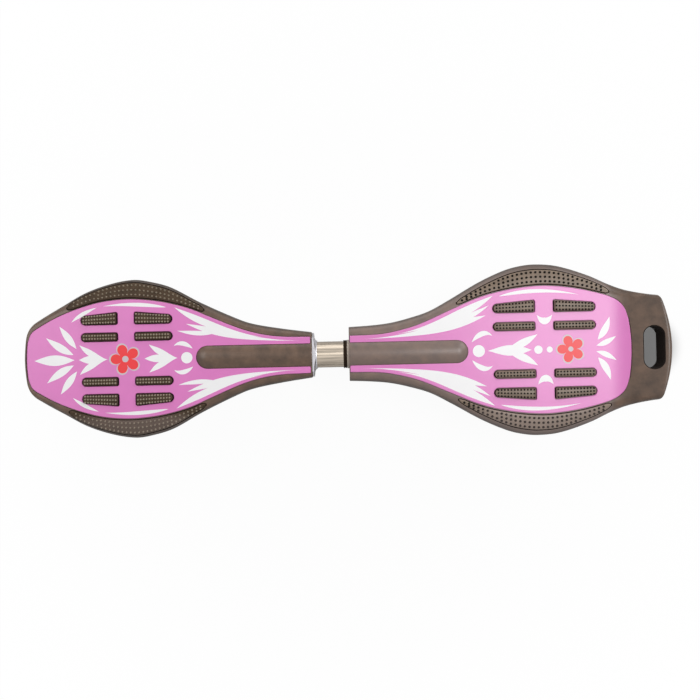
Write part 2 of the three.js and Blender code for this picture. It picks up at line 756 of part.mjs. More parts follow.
function deckPieces(deck) {
  const group = new THREE.Group();
  group.add(piece(`${deck.name}_deck_shell`, deckShell(deck), finishes.deckPlastic));
  group.add(piece(`${deck.name}_deck_panel`, deckPanel(deck), finishes.panelPlastic));
  for (const [label, side] of [["left", 1], ["right", -1]]) {
    group.add(piece(`${deck.name}_grip_mat_${label}`, gripMat(deck, side), finishes.gripRubber));
    const strip = stripBody(deck, side, 0, stripSeat, stripProud);
    group.add(piece(`${deck.name}_rail_strip_${label}`, strip, finishes.gripRubber));
  }
  return group;
}

// Torsion tube and what it holds

const frontAnchorX = frontWaistX - tubeFrontInsert + anchorLength / 2;
const frontClampX = frontWaistX - tubeFrontInsert / 3;
const rearAnchorX = rearWaistX + tubeRearInsert + 2 * restGap + anchorLength / 2;

function anchorPlaces(deck) {
  return deck === frontDeck ? [frontAnchorX, frontClampX] : [rearAnchorX];
}

// A bolt that comes up through the underside of a spine.
function anchorBolt(x, reach) {
  const headTop = -spineRadius - restGap;
  const shank = solid(rod(anchorBoltRadius, headTop, -reach));
  const head = solid(rod(anchorHeadRadius, headTop - anchorHeadHeight, headTop + restGap / 3, "z", rodSides));
  const socketTop = headTop - anchorHeadHeight / 2;
  const socket = solid(rod(anchorBoltRadius, headTop - 2 * anchorHeadHeight, socketTop, "z", 6));
  return geometryOf(shank.add(head).subtract(socket)).translate(x, 0, tubeHeight);
}

// The tool that drills a bolt's hole from below, up to a height measured from the tube's axis.
function boltHole(x, to) {
  return solid(rod(anchorBoltRadius + restGap, -spineRadius - cutOverrun, to).translate(x, 0, 0));
}

// A plug that grips one square end of the torsion bar.
function anchorPlug(radius, x) {
  const plug = solid(rod(radius, x - anchorLength / 2, x + anchorLength / 2, "x", tubeSides));
  const half = torsionKeyWidth / 2 + restGap;
  const keyway = solid(block(x - anchorLength, x + anchorLength, -half, half, -half, half));
  return geometryOf(plug.subtract(keyway).subtract(boltHole(x, 0))).translate(0, 0, tubeHeight);
}

function torsionBar() {
  const half = torsionKeyWidth / 2;
  const reach = anchorLength / 2;
  const keyEnd = reach + 2 * restGap; // the square ends come just out of their plugs
  const round = rod(torsionBarRadius, frontAnchorX + reach + restGap, rearAnchorX - reach - restGap, "x");
  const parts = [
    solid(round),
    solid(block(frontAnchorX - reach, frontAnchorX + keyEnd, -half, half, -half, half)),
    solid(block(rearAnchorX - keyEnd, rearAnchorX + reach, -half, half, -half, half)),
  ];
  const pinned = [frontAnchorX, rearAnchorX].map((x) => boltHole(x, -half + anchorPinDepth + restGap));
  return geometryOf(united(parts).subtract(united(pinned))).translate(0, 0, tubeHeight);
}

function torsionTube() {
  const from = frontWaistX - tubeFrontInsert;
  const to = rearWaistX + tubeRearInsert;
  let body = solid(ring(tubeRadius, tubeRadius - tubeWall, from, to, "x", tubeSides));
  for (const x of anchorPlaces(frontDeck)) {
    body = body.subtract(boltHole(x, 0));
  }
  return geometryOf(body).translate(0, 0, tubeHeight);
}

// The collar: a plate on the front deck's waist that sweeps down to the tube.
function tubeCollar() {
  const from = frontWaistX + restGap;
  const inner = tubeRadius + restGap;
  const steps = 5;
  const sweep = Array.from({ length: steps + 1 }, (_, i) => {
    const turn = (i / steps) * quarterTurn;
    const neck = inner + collarNeck;
    const radius = collarRadius - (collarRadius - neck) * Math.sin(turn);
    return [radius, from + collarPlate + (collarLength - collarPlate) * (1 - Math.cos(turn))];
  });
  const profile = [[inner, from], [collarRadius, from], ...sweep, [inner, from + collarLength]];
  const body = solid(turned(profile, "x", tubeSides));
  const reach = collarRadius + cutOverrun;
  const top = tubeDepth + panelProud;
  const trim = block(from - cutOverrun, from + cutOverrun, -reach, reach, -spineRadius, top);
  return geometryOf(body.intersect(solid(trim))).translate(0, 0, tubeHeight);
}

function tubePieces() {
  const group = new THREE.Group();
  const raisedRing = (...sizes) => ring(...sizes, "x", tubeSides).translate(0, 0, tubeHeight);
  const bushEnd = rearWaistX + bushLength;
  const sealEnd = rearWaistX - bushProud - restGap;
  const deepEnd = rearWaistX + tubeRearInsert;
  const plugInTube = tubeRadius - tubeWall - restGap;
  group.add(piece("torsion_tube", torsionTube(), finishes.steel));
  group.add(piece("tube_collar", tubeCollar(), finishes.aluminium));
  group.add(piece("front_anchor_plug", anchorPlug(plugInTube, frontAnchorX), finishes.aluminium));
  group.add(piece("rear_anchor_plug", anchorPlug(bushRadius, rearAnchorX), finishes.aluminium));
  group.add(piece("torsion_bar", torsionBar(), finishes.steel));
  const pinTip = torsionKeyWidth / 2 - anchorPinDepth;
  group.add(piece("front_anchor_bolt", anchorBolt(frontAnchorX, pinTip), finishes.steel));
  const clampTip = tubeRadius - tubeWall - clampBoltDepth;
  group.add(piece("front_clamp_bolt", anchorBolt(frontClampX, clampTip), finishes.steel));
  group.add(piece("rear_anchor_bolt", anchorBolt(rearAnchorX, pinTip), finishes.steel));
  const sealInner = tubeRadius + restGap;
  const seal = raisedRing(sealInner + sealThickness, sealInner, sealEnd - sealWidth, sealEnd);
  group.add(piece("tube_seal_ring", seal, finishes.blackRubber));
  const outerBush = raisedRing(bushRadius, boreRadius, rearWaistX - bushProud, bushEnd);
  group.add(piece("rear_bush_outer", outerBush, finishes.nylon));
  const deepBush = raisedRing(bushRadius, boreRadius, deepEnd - bushLength, deepEnd);
  group.add(piece("rear_bush_inner", deepBush, finishes.nylon));
  return group;
}

// Casters. These shapes have the pivot point as their origin, and the swivel axis as their Z axis.

const ballRingTop = -raceProud - restGap;
const lowerRaceTop = ballRingTop - ballRingHeight - restGap;
const crownTop = lowerRaceTop - raceThickness - restGap;
const crownFoot = crownTop - crownThickness;
const forkInside = wheelWidth / 2 + axleWasherThickness;
const forkOutside = forkInside + armThickness;

function kingpinBolt() {
  const shank = solid(rod(kingpinRadius, crownFoot - restGap, kingpinTip));
  const headTop = crownFoot - restGap;
  const head = solid(rod(kingpinHeadRadius, headTop - kingpinHeadHeight, headTop, "z", 6));
  return united([shank, head]);
}

function hexNut(radius, bore, from, to, axis = "z") {
  const body = solid(rod(radius, from, to, axis, 6));
  return body.subtract(solid(rod(bore, from - cutOverrun, to + cutOverrun, axis)));
}

// One arm of the fork, from the crown down to the axle.
function forkArm(from, to) {
  const shape = new THREE.Shape();
  shape.moveTo(-armTopFront, crownTop);
  shape.lineTo(-armTopFront, crownFoot - crownThickness);
  shape.lineTo(axleTrail - armEndRadius * Math.SQRT1_2, -axleDrop - armEndRadius * Math.SQRT1_2);
  shape.absarc(axleTrail, -axleDrop, armEndRadius, -quarterTurn * 1.5, quarterTurn * 0.2, false);
  shape.lineTo(armTopRear, crownFoot);
  shape.lineTo(armTopRear, crownTop);
  shape.closePath();
  const depth = to - from;
  const geometry = new THREE.ExtrudeGeometry(shape, { depth, bevelEnabled: false, curveSegments: 8 });
  return solid(geometry.rotateX(quarterTurn).translate(0, to, 0));
}

function axleAt(geometry) {
  return geometry.translate(axleTrail, 0, -axleDrop);
}

function fork() {
  const crown = solid(rod(crownRadius, crownFoot, crownTop, "z", tubeSides));
  const arms = [forkArm(forkInside, forkOutside), forkArm(-forkOutside, -forkInside)];
  const pinRoom = kingpinRadius + runningGap + restGap;
  const pinHole = solid(rod(pinRoom, crownFoot - cutOverrun, crownTop + cutOverrun));
  const reach = forkOutside + cutOverrun;
  const axleHole = solid(axleAt(rod(axleRadius + restGap, -reach, reach, "y")));
  return united([crown, ...arms]).subtract(pinHole).subtract(axleHole);
}

function axleBolt() {
  const headFoot = forkOutside + restGap;
  const shank = solid(rod(axleRadius, -forkOutside - axleNutHeight - 2 * restGap, headFoot + restGap, "y"));
  const head = solid(rod(axleHeadRadius, headFoot, headFoot + axleHeadHeight, "y", 6));
  return geometryOf(united([shank, head]));
}

// The hub: a rim, spokes and a housing with a seat for a bearing on each side.
function wheelHub() {
  const half = wheelWidth / 2;
  const seat = bearingRadius + restGap;
  const housing = seat + hubHousingWall;
  const shoulder = bearingRadius - hubShoulder;
  const step = half - bearingWidth - restGap;
  const core = solid(turned([
    [seat, -half], [housing, -half], [housing, half], [seat, half], [seat, step], [shoulder, step],
    [shoulder, -step], [seat, -step],
  ], "y"));
  const rim = solid(ring(hubRadius, hubRadius - hubRimThickness, -half, half, "y", wheelSides));
  const spokes = Array.from({ length: hubSpokeCount }, (_, i) => {
    const spoke = block(housing - restGap, hubRadius - hubRimThickness / 2, -half * 0.7, half * 0.7,
      -hubSpokeThickness / 2, hubSpokeThickness / 2);
    return solid(spoke.rotateY((i * 4 * quarterTurn) / hubSpokeCount));
  });
  return geometryOf(united([core, rim, ...spokes]));
}

function wheelTyre() {
  const half = wheelWidth / 2;
  const halfFacet = (2 * quarterTurn) / wheelSides;
  const inner = hubRadius + restGap;
  const outer = wheelRadius / Math.cos(halfFacet); // so that the flats between its corners touch the ground
  const profile = [[inner, -half]];
  const steps = 2;
  for (const way of [-1, 1]) {
    for (let i = 0; i <= steps; i += 1) {
      const turn = ((way < 0 ? i : steps - i) / steps) * quarterTurn;
      const radius = outer - treadRounding * (1 - Math.sin(turn));
      profile.push([radius, way * (half - treadRounding * (1 - Math.cos(turn)))]);
    }
  }
  profile.push([inner, half]);
  return turned(profile, "y", wheelSides).rotateY(casterTilt + halfFacet);
}

function casterPieces(deck) {
  const group = new THREE.Group();
  group.position.set(deck.wheelX - pivotToWheelX, 0, pivotHeight);
  group.rotation.y = -casterTilt;
  const add = (name, shape, finish) => group.add(piece(`${deck.name}_${name}`, shape, finish));
  add("kingpin_bolt", kingpinBolt(), finishes.steel);
  const nutBore = kingpinRadius + restGap;
  add("kingpin_nut", hexNut(kingpinHeadRadius, nutBore, kingpinNutFoot, kingpinNutTop), finishes.steel);
  add("swivel_upper_race", ring(raceRadius, raceBore, -raceProud, raceSeat), finishes.steel);
  const balls = ring(ballRingRadius, ballRingBore, ballRingTop - ballRingHeight, ballRingTop);
  add("swivel_ball_ring", balls, finishes.steel);
  const lowerRace = ring(raceRadius, raceBore, lowerRaceTop - raceThickness, lowerRaceTop);
  add("swivel_lower_race", lowerRace, finishes.steel);
  const sealInner = (raceRadius + runningGap) / Math.cos((2 * quarterTurn) / ringSides); // clears corners too
  const seal = ring(sealInner + sealRingWall, sealInner, crownTop + restGap, -restGap);
  add("swivel_seal", seal, finishes.blackRubber);
  add("fork", fork(), finishes.forkPaint);
  add("axle_bolt", axleAt(axleBolt()), finishes.steel);
  const nutTop = -forkOutside - restGap;
  const axleNut = hexNut(axleHeadRadius, axleRadius + restGap, nutTop - axleNutHeight, nutTop, "y");
  add("axle_nut", axleAt(geometryOf(axleNut)), finishes.steel);
  const half = wheelWidth / 2;
  const bore = axleRadius + restGap;
  const sleeveReach = half - bearingWidth - restGap;
  add("axle_sleeve", axleAt(ring(sleeveRadius, bore, -sleeveReach, sleeveReach, "y")), finishes.aluminium);
  for (const [label, way] of [["left", 1], ["right", -1]]) {
    const span = (near, far) => [way * near, way * far].sort((a, b) => a - b);
    const washer = ring(axleWasherRadius, bore, ...span(half + restGap, forkInside - restGap), "y");
    add(`axle_washer_${label}`, axleAt(washer), finishes.steel);
    const place = span(half - bearingWidth, half);
    add(`bearing_inner_${label}`, axleAt(ring(innerRaceRadius, bore, ...place, "y")), finishes.steel);
    const outerRace = ring(bearingRadius, innerRaceRadius + runningGap, ...place, "y");
    add(`bearing_outer_${label}`, axleAt(outerRace), finishes.steel);
  }
  add("wheel_hub", axleAt(wheelHub()), finishes.hubPlastic);
  add("wheel_tyre", axleAt(wheelTyre()), finishes.polyurethane);
  return group;
}

const board = new THREE.Group();
for (const deck of [frontDeck, rearDeck]) board.add(deckPieces(deck), casterPieces(deck));
board.add(tubePieces());
export default board;
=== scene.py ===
# %% [markdown]
# A caster board has two foot decks that twist against each other on a sprung steel tube. Each deck stands
# on one wheel, in a fork that swivels about a tilted axis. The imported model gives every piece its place,
# and this file gives each visible one its fine surface and its finish. All sizes below are in millimetres,
# in the frame's own axes: +X points from the nose to the carry handle and +Z points up.

# %% Load the frame
import json
import math
import bmesh
import bpy
import numpy as np
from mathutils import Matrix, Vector
from mathutils.geometry import delaunay_2d_cdt


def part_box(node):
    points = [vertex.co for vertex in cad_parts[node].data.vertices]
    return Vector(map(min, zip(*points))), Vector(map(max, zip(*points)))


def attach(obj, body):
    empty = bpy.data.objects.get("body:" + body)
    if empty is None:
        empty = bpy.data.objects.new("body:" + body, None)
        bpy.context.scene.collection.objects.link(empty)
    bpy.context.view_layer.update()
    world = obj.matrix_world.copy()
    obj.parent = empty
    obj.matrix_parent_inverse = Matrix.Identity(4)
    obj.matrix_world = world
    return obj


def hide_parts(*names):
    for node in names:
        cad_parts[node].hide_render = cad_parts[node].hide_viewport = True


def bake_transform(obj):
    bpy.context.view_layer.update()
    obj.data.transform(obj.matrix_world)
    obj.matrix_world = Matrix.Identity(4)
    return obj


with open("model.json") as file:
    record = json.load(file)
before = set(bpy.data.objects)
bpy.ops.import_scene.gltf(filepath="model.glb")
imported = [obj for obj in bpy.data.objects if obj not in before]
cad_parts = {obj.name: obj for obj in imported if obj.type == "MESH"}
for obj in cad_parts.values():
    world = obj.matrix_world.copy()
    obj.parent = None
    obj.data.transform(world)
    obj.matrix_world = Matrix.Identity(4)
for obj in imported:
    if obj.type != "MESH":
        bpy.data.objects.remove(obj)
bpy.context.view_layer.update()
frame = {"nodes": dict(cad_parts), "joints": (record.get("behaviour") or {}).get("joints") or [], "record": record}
METRE = 0.001

# %% [markdown]
# The photograph looks straight down on the board from about a metre above it, so near things look a little
# larger than far ones: the raised tail, and the far wall of the handle slot, which shows on its right. The
# board lies turned by a little over a degree in the picture, so the camera is turned back by as much.

# %% Camera
camera = bpy.data.objects.new("camera", bpy.data.cameras.new("camera"))
bpy.context.scene.collection.objects.link(camera)
camera.location = (0.0064, 0.0053, 1.162)
camera.rotation_euler = (0, 0, math.radians(-1.3))
camera.data.lens = 40.7
camera.data.sensor_width = 36
bpy.context.scene.camera = camera
print("camera height above the floor:", round(camera.location.z, 3), "m")

# %% [markdown]
# The photograph's light is even, but the rear deck has a pale veil that ends where its tail slopes up: a
# wide lamp high on the right is mirrored in everything level there. A second lamp stands lower at the upper
# right, so that the pads have a dark side on their left and the lower rims turn dark. It is wide, so that
# the glossy panels don't mirror it as a hard glare from other sides. Weak lamps on the left and low down
# behind keep the flanks and the wheels readable.

# %% Lamps
def soft_lamp(name, place, aim, size, watts):
    """An area lamp at one point that looks at another."""
    lamp = bpy.data.lights.new(name, "AREA")
    lamp.shape, lamp.size, lamp.energy = "DISK", size, watts
    stand = bpy.data.objects.new(name, lamp)
    stand.location = place
    stand.rotation_euler = (Vector(aim) - Vector(place)).to_track_quat("-Z", "Y").to_euler()
    bpy.context.scene.collection.objects.link(stand)
    return stand


soft_lamp("side_lamp", (2.4, 1.9, 1.9), (0.1, 0, 0.1), 2.4, 38)
soft_lamp("veil_lamp", (0.88, 0.16, 2.05), (0.2, 0, 0.1), 0.9, 17)
soft_lamp("left_lamp", (-1.3, 0.5, 1.6), (-0.3, 0, 0.1), 1.4, 12)
soft_lamp("low_lamp", (-0.2, 1.5, 0.5), (0, 0, 0.06), 1.2, 4)
print("lamps:", [lamp.name for lamp in bpy.data.lights])

# %% [markdown]
# The surroundings look white to the camera, to gloss and through clear things, but light the board only
# weakly. Light Path tells what kind of ray meets them: the greatest of its three answers is 0 or 1, and a
# Map Range node turns that into the weak or the white strength.

# %% Surroundings
weak_light = 0.19
world = bpy.data.worlds.new("surroundings")
bpy.context.scene.world = world
world.use_nodes = True
tree = world.node_tree
path = tree.nodes.new("ShaderNodeLightPath")
seen = tree.nodes.new("ShaderNodeMath")
seen.operation = "MAXIMUM"
either = tree.nodes.new("ShaderNodeMath")
either.operation = "MAXIMUM"
tree.links.new(path.outputs["Is Camera Ray"], seen.inputs[0])
tree.links.new(path.outputs["Is Transmission Ray"], seen.inputs[1])
tree.links.new(seen.outputs[0], either.inputs[0])
tree.links.new(path.outputs["Is Glossy Ray"], either.inputs[1])
level = tree.nodes.new("ShaderNodeMapRange")
level.inputs["To Min"].default_value = weak_light
level.inputs["To Max"].default_value = 1.0
tree.links.new(either.outputs[0], level.inputs["Value"])
tree.links.new(level.outputs[0], tree.nodes["Background"].inputs["Strength"])
tree.nodes["Background"].inputs["Color"].default_value = (1, 1, 1, 1)
bpy.context.scene.view_settings.view_transform = "Standard"
print("surroundings:", world.name)

# %% [markdown]
# The floor is a plain pale sheet. To the camera it is mostly its own even white, and wholly so far from the
# board, so that the background stays as bright as in the photograph; nearer, enough of its lit surface is
# mixed in to keep the board's shadow. Under each deck it is painted grey as shadow, which shows through the
# handle slot. Seen from below it is clear. Such a finish is sums on the place of a point, and the helpers
# below write them.

# %% Floor sheet
floor_mesh = bpy.data.meshes.new("floor")
floor_mesh.from_pydata([(-6, -6, 0), (6, -6, 0), (6, 6, 0), (-6, 6, 0)], [], [(0, 1, 2, 3)])
floor = bpy.data.objects.new("floor", floor_mesh)
bpy.context.scene.collection.objects.link(floor)
floor_finish = bpy.data.materials.new("pale_floor")
floor_finish.use_nodes = True
tree = floor_finish.node_tree


def maths(operation, first, second=None):
    """One Math node in the floor's finish, whose inputs are sockets or plain numbers."""
    node = tree.nodes.new("ShaderNodeMath")
    node.operation = operation
    for socket, value in zip(node.inputs, (first, second)):
        if isinstance(value, bpy.types.NodeSocket):
            tree.links.new(value, socket)
        elif value is not None:
            socket.default_value = value
    return node.outputs[0]


def ramped(value, low, high, at_low, at_high):
    """A value mapped from one range to another with soft ends."""
    node = tree.nodes.new("ShaderNodeMapRange")
    node.interpolation_type = "SMOOTHSTEP"
    for name, number in (("From Min", low), ("From Max", high), ("To Min", at_low), ("To Max", at_high)):
        node.inputs[name].default_value = number
    tree.links.new(value, node.inputs["Value"])
    return node.outputs[0]


def far_from(x, reach_x, reach_y):
    """Distance on the floor from a place under the board, as a share of the two reaches."""
    along = maths("DIVIDE", maths("SUBTRACT", sides.outputs["X"], x), reach_x)
    across = maths("DIVIDE", sides.outputs["Y"], reach_y)
    return maths("SQRT", maths("ADD", maths("MULTIPLY", along, along), maths("MULTIPLY", across, across)))


print("floor:", floor_finish.name)

# %% [markdown]
# The lit surface and the even white are two shaders. One Mix Shader goes from the first to the second by
# how far a point lies from the board, for camera rays alone, and another makes the sheet's back clear.

# %% Floor finish
place = tree.nodes.new("ShaderNodeTexCoord")
sides = tree.nodes.new("ShaderNodeSeparateXYZ")
tree.links.new(place.outputs["Object"], sides.inputs[0])
under = maths("MINIMUM", far_from(0.33, 0.17, 0.09), far_from(-0.27, 0.16, 0.08))
under_edge, painted_shadow_grey, floor_grey = 0.78, 0.22, 0.86
# Painted shadow: the floor's colour turns grey under each deck.
shade = ramped(under, under_edge, 1.0, painted_shadow_grey, floor_grey)
lit = tree.nodes["Principled BSDF"]
lit.inputs["Roughness"].default_value = 0.9
tone = tree.nodes.new("ShaderNodeCombineColor")
for channel in tone.inputs:
    tree.links.new(shade, channel)
tree.links.new(tone.outputs[0], lit.inputs["Base Color"])
even = tree.nodes.new("ShaderNodeEmission")
clear = tree.nodes.new("ShaderNodeBsdfTransparent")
path = tree.nodes.new("ShaderNodeLightPath")
facing = tree.nodes.new("ShaderNodeNewGeometry")
board_reach, nearest_white = 0.55, 0.95
far = ramped(far_from(0, board_reach, board_reach), 0.3, 1.4, nearest_white, 1.0)
white = maths("MULTIPLY", far, ramped(under, under_edge, 1.0, 0.0, 1.0))
blend = tree.nodes.new("ShaderNodeMixShader")
tree.links.new(maths("MULTIPLY", path.outputs["Is Camera Ray"], white), blend.inputs[0])
tree.links.new(lit.outputs[0], blend.inputs[1])
tree.links.new(even.outputs[0], blend.inputs[2])
through = tree.nodes.new("ShaderNodeMixShader")
from_below = maths("MULTIPLY", path.outputs["Is Camera Ray"], facing.outputs["Backfacing"])
tree.links.new(from_below, through.inputs[0])
tree.links.new(blend.outputs[0], through.inputs[1])
tree.links.new(clear.outputs[0], through.inputs[2])
tree.links.new(through.outputs[0], tree.nodes["Material Output"].inputs["Surface"])
floor.data.materials.append(floor_finish)
print("floor finish:", len(tree.nodes), "nodes")

# %% [markdown]
# A finish starts from a principled shader. Moulded plastic, cast metal and rubber differ in colour, in
# gloss and in the relief that the mould or the tool leaves, so one helper lays two sizes of noise over a
# surface: a broad one for patches of tone and a fine one for the grain that breaks up the highlights.

# %% Finish helper
def new_finish(
        name, colour, tone, roughness, spread, grain_size, grain_height, metallic=0.0, patch=30,
        stretch=(1, 1, 1)):
    """A principled finish. Over patches of some mm its colour goes from colour (1 - tone) to colour
    (1 + tone), and its roughness from roughness - spread to roughness + spread. A fine bump covers it."""
    finish = bpy.data.materials.new(name)
    finish.use_nodes = True
    nodes, links = finish.node_tree.nodes, finish.node_tree.links
    shader = nodes["Principled BSDF"]
    shader.inputs["Metallic"].default_value = metallic
    place = nodes.new("ShaderNodeTexCoord")
    turn = nodes.new("ShaderNodeMapping")
    turn.inputs["Scale"].default_value = stretch
    links.new(place.outputs["Object"], turn.inputs["Vector"])
    patches = nodes.new("ShaderNodeTexNoise")
    patches.inputs["Scale"].default_value = 1000 / patch
    patches.inputs["Detail"].default_value = 6
    patches.inputs["Roughness"].default_value = 0.62
    links.new(turn.outputs[0], patches.inputs["Vector"])
    ramp = nodes.new("ShaderNodeValToRGB")
    ramp.color_ramp.elements[0].position = 0.3
    ramp.color_ramp.elements[1].position = 0.7
    ramp.color_ramp.elements[0].color = [c * (1 - tone) for c in colour] + [1]
    ramp.color_ramp.elements[1].color = [min(c * (1 + tone), 1) for c in colour] + [1]
    links.new(patches.outputs["Fac"], ramp.inputs[0])
    links.new(ramp.outputs[0], shader.inputs["Base Color"])
    gloss = nodes.new("ShaderNodeMapRange")
    gloss.inputs["To Min"].default_value = roughness - spread
    gloss.inputs["To Max"].default_value = roughness + spread
    links.new(patches.outputs["Fac"], gloss.inputs["Value"])
    links.new(gloss.outputs[0], shader.inputs["Roughness"])
    grain = nodes.new("ShaderNodeTexNoise")
    grain.inputs["Scale"].default_value = 1000 / grain_size
    grain.inputs["Detail"].default_value = 2
    links.new(turn.outputs[0], grain.inputs["Vector"])
    relief = nodes.new("ShaderNodeBump")
    relief.inputs["Strength"].default_value = 1
    relief.inputs["Distance"].default_value = grain_height * METRE
    links.new(grain.outputs["Fac"], relief.inputs["Height"])
    links.new(relief.outputs[0], shader.inputs["Normal"])
    return finish


print("finish helper:", new_finish.__name__)

# %% [markdown]
# The deck mouldings, the grip pads and the rail strips are a warm dark brown, mottled where the moulding is
# scuffed. The front rubber is a darker copy of the rear one, painted shade, and its studs are painted
# pale as highlights, while the rear studs are painted nearly black as shade. The narrow grooves round
# every insert are painted dark as shade. The foot panels are glossy pink with the print laid into the same
# clear surface.

# %% Plastic and rubber finishes
deck_plastic = new_finish("deck_plastic", (0.112, 0.066, 0.042), 0.42, 0.35, 0.07, 0.9, 0.014, patch=18)
grip_rubber = new_finish("grip_rubber", (0.205, 0.148, 0.106), 0.20, 0.44, 0.06, 0.7, 0.010, patch=9)
# The front rubber is a darker copy of the rear rubber, painted shade.
front_rubber_painted_shade = new_finish("front_rubber_painted_shade", (0.074, 0.049, 0.031), 0.28, 0.48, 0.06, 0.7, 0.010, patch=9)
# The front studs of pads and strips are painted paler than their rubber, as highlights.
studs_painted_highlight = new_finish("studs_painted_highlight", (0.300, 0.250, 0.180), 0.20, 0.50, 0.06, 0.7, 0.008, patch=9)
strip_studs_painted_highlight = new_finish("strip_studs_painted_highlight", (0.215, 0.170, 0.120), 0.20, 0.50, 0.06, 0.7, 0.008, patch=9)
# The rear studs are painted nearly black, as shade.
studs_painted_shade = new_finish("studs_painted_shade", (0.010, 0.008, 0.006), 0.20, 0.65, 0.06, 0.7, 0.008, patch=9)
# Painted shade: a near-black finish for the walls of seats, slots, grooves and pads.
shaded_groove = new_finish("shaded_groove", (0.014, 0.010, 0.008), 0.20, 0.75, 0.05, 0.7, 0.010)
panel_pink = new_finish("panel_pink", (0.715, 0.192, 0.525), 0.035, 0.38, 0.04, 6.0, 0.004)
print_white = new_finish("print_white", (0.930, 0.925, 0.930), 0.015, 0.38, 0.04, 6.0, 0.004)
print_red = new_finish("print_red", (0.850, 0.034, 0.040), 0.03, 0.38, 0.04, 6.0, 0.004)
print_grey = new_finish("print_grey", (0.600, 0.530, 0.560), 0.02, 0.38, 0.04, 6.0, 0.004)
seal_rubber = new_finish("seal_rubber", (0.022, 0.013, 0.007), 0.10, 0.65, 0.05, 0.8, 0.008)
bush_nylon = new_finish("bush_nylon", (0.560, 0.480, 0.400), 0.06, 0.42, 0.04, 1.2, 0.005)
hub_plastic = new_finish("hub_plastic", (0.045, 0.045, 0.048), 0.12, 0.38, 0.05, 1.0, 0.008)
wheel_urethane = new_finish("wheel_urethane", (0.800, 0.775, 0.730), 0.04, 0.30, 0.06, 2.5, 0.012)
wheel_urethane.node_tree.nodes["Principled BSDF"].inputs["Subsurface Weight"].default_value = 0.15
wheel_urethane.node_tree.nodes["Principled BSDF"].inputs["Subsurface Scale"].default_value = 0.004
panel_pink.node_tree.nodes["Principled BSDF"].inputs["Coat Weight"].default_value = 0.4
panel_pink.node_tree.nodes["Principled BSDF"].inputs["Coat Roughness"].default_value = 0.25
for finish in (studs_painted_shade, shaded_groove, front_rubber_painted_shade, seal_rubber):
    finish.node_tree.nodes["Principled BSDF"].inputs["Specular IOR Level"].default_value = 0.1
print("finishes so far:", len(bpy.data.materials))

# %% [markdown]
# Painted shade darkens the rims of both decks below their platform, which is 112 mm high. The rear deck is
# also greyed by a painted sheen, but for its tail, which starts at 346 mm and whose handle is darkened by
# painted shade. The rims and strips of the right side are painted paler, as painted light. A tint depends on
# one coordinate alone, so a colour ramp over that coordinate holds the tint and, in its alpha, the share
# of it that covers the finish.

# %% Tints along an axis
def tint_along(finish, axis, stops):
    """Mixes tints into the base colour. Each stop is a place along the axis in mm, a tint and its share."""
    nodes, links = finish.node_tree.nodes, finish.node_tree.links
    place = nodes.new("ShaderNodeTexCoord")
    sides = nodes.new("ShaderNodeSeparateXYZ")
    links.new(place.outputs["Object"], sides.inputs[0])
    reach = nodes.new("ShaderNodeMapRange")
    lowest, highest = stops[0][0], stops[-1][0]
    reach.inputs["From Min"].default_value = lowest * METRE
    reach.inputs["From Max"].default_value = highest * METRE
    links.new(sides.outputs[axis], reach.inputs["Value"])
    ramp = nodes.new("ShaderNodeValToRGB")
    ramp.color_ramp.interpolation = "EASE"
    while len(ramp.color_ramp.elements) < len(stops):
        ramp.color_ramp.elements.new(0.5)
    for element, (place_mm, tint, share) in zip(ramp.color_ramp.elements, stops):
        element.position = (place_mm - lowest) / (highest - lowest)
        element.color = (*tint, share)
    links.new(reach.outputs[0], ramp.inputs[0])
    shader = nodes["Principled BSDF"]
    mixed = nodes.new("ShaderNodeMix")
    mixed.data_type = "RGBA"
    links.new(shader.inputs["Base Color"].links[0].from_socket, mixed.inputs["A"])
    links.new(ramp.outputs["Color"], mixed.inputs["B"])
    links.new(ramp.outputs["Alpha"], mixed.inputs["Factor"])
    links.new(mixed.outputs["Result"], shader.inputs["Base Color"])


painted_shade, painted_light = (0.012, 0.009, 0.007), (0.48, 0.39, 0.37)
# The rear deck's plastic is a copy that also carries a painted sheen and painted shade.
rear_plastic_painted_light = deck_plastic.copy()
rear_plastic_painted_light.name = "rear_plastic_painted_light"
# Painted sheen greys the rear deck up to its tail, and painted shade darkens the tilted handle.
tint_along(rear_plastic_painted_light, "X", [
    (5, painted_light, 0.20), (220, painted_light, 0.25), (345, painted_light, 0.28), (362, painted_shade, 0), (374, painted_shade, 0.22)])
# Painted shade: both decks' rims turn darker below the platform, where they slope away from the light.
tint_along(rear_plastic_painted_light, "Z", [(80, painted_shade, 0), (104, painted_shade, 0.62), (110.6, painted_shade, 0)])
tint_along(deck_plastic, "Z", [(80, painted_shade, 0), (104, painted_shade, 0.72), (110.6, painted_shade, 0)])
# Painted light: on both decks the rims, strips and studs of the right side are paler.
for finish, share in (
        (front_rubber_painted_shade, 0.18), (strip_studs_painted_highlight, 0.18), (grip_rubber, 0.26), (studs_painted_shade, 0.10),
        (deck_plastic, 0.10), (rear_plastic_painted_light, 0.12)):
    tint_along(finish, "Y", [(-84, painted_light, share), (-70, painted_light, 0)])
print("tinted:", rear_plastic_painted_light.name, "and", deck_plastic.name)

# %% [markdown]
# The bare tube is drawn steel, with faint lines along it. Stretching the noise along a piece turns its
# patches into such lines, which spread the highlight the way that a drawn or brushed surface does.

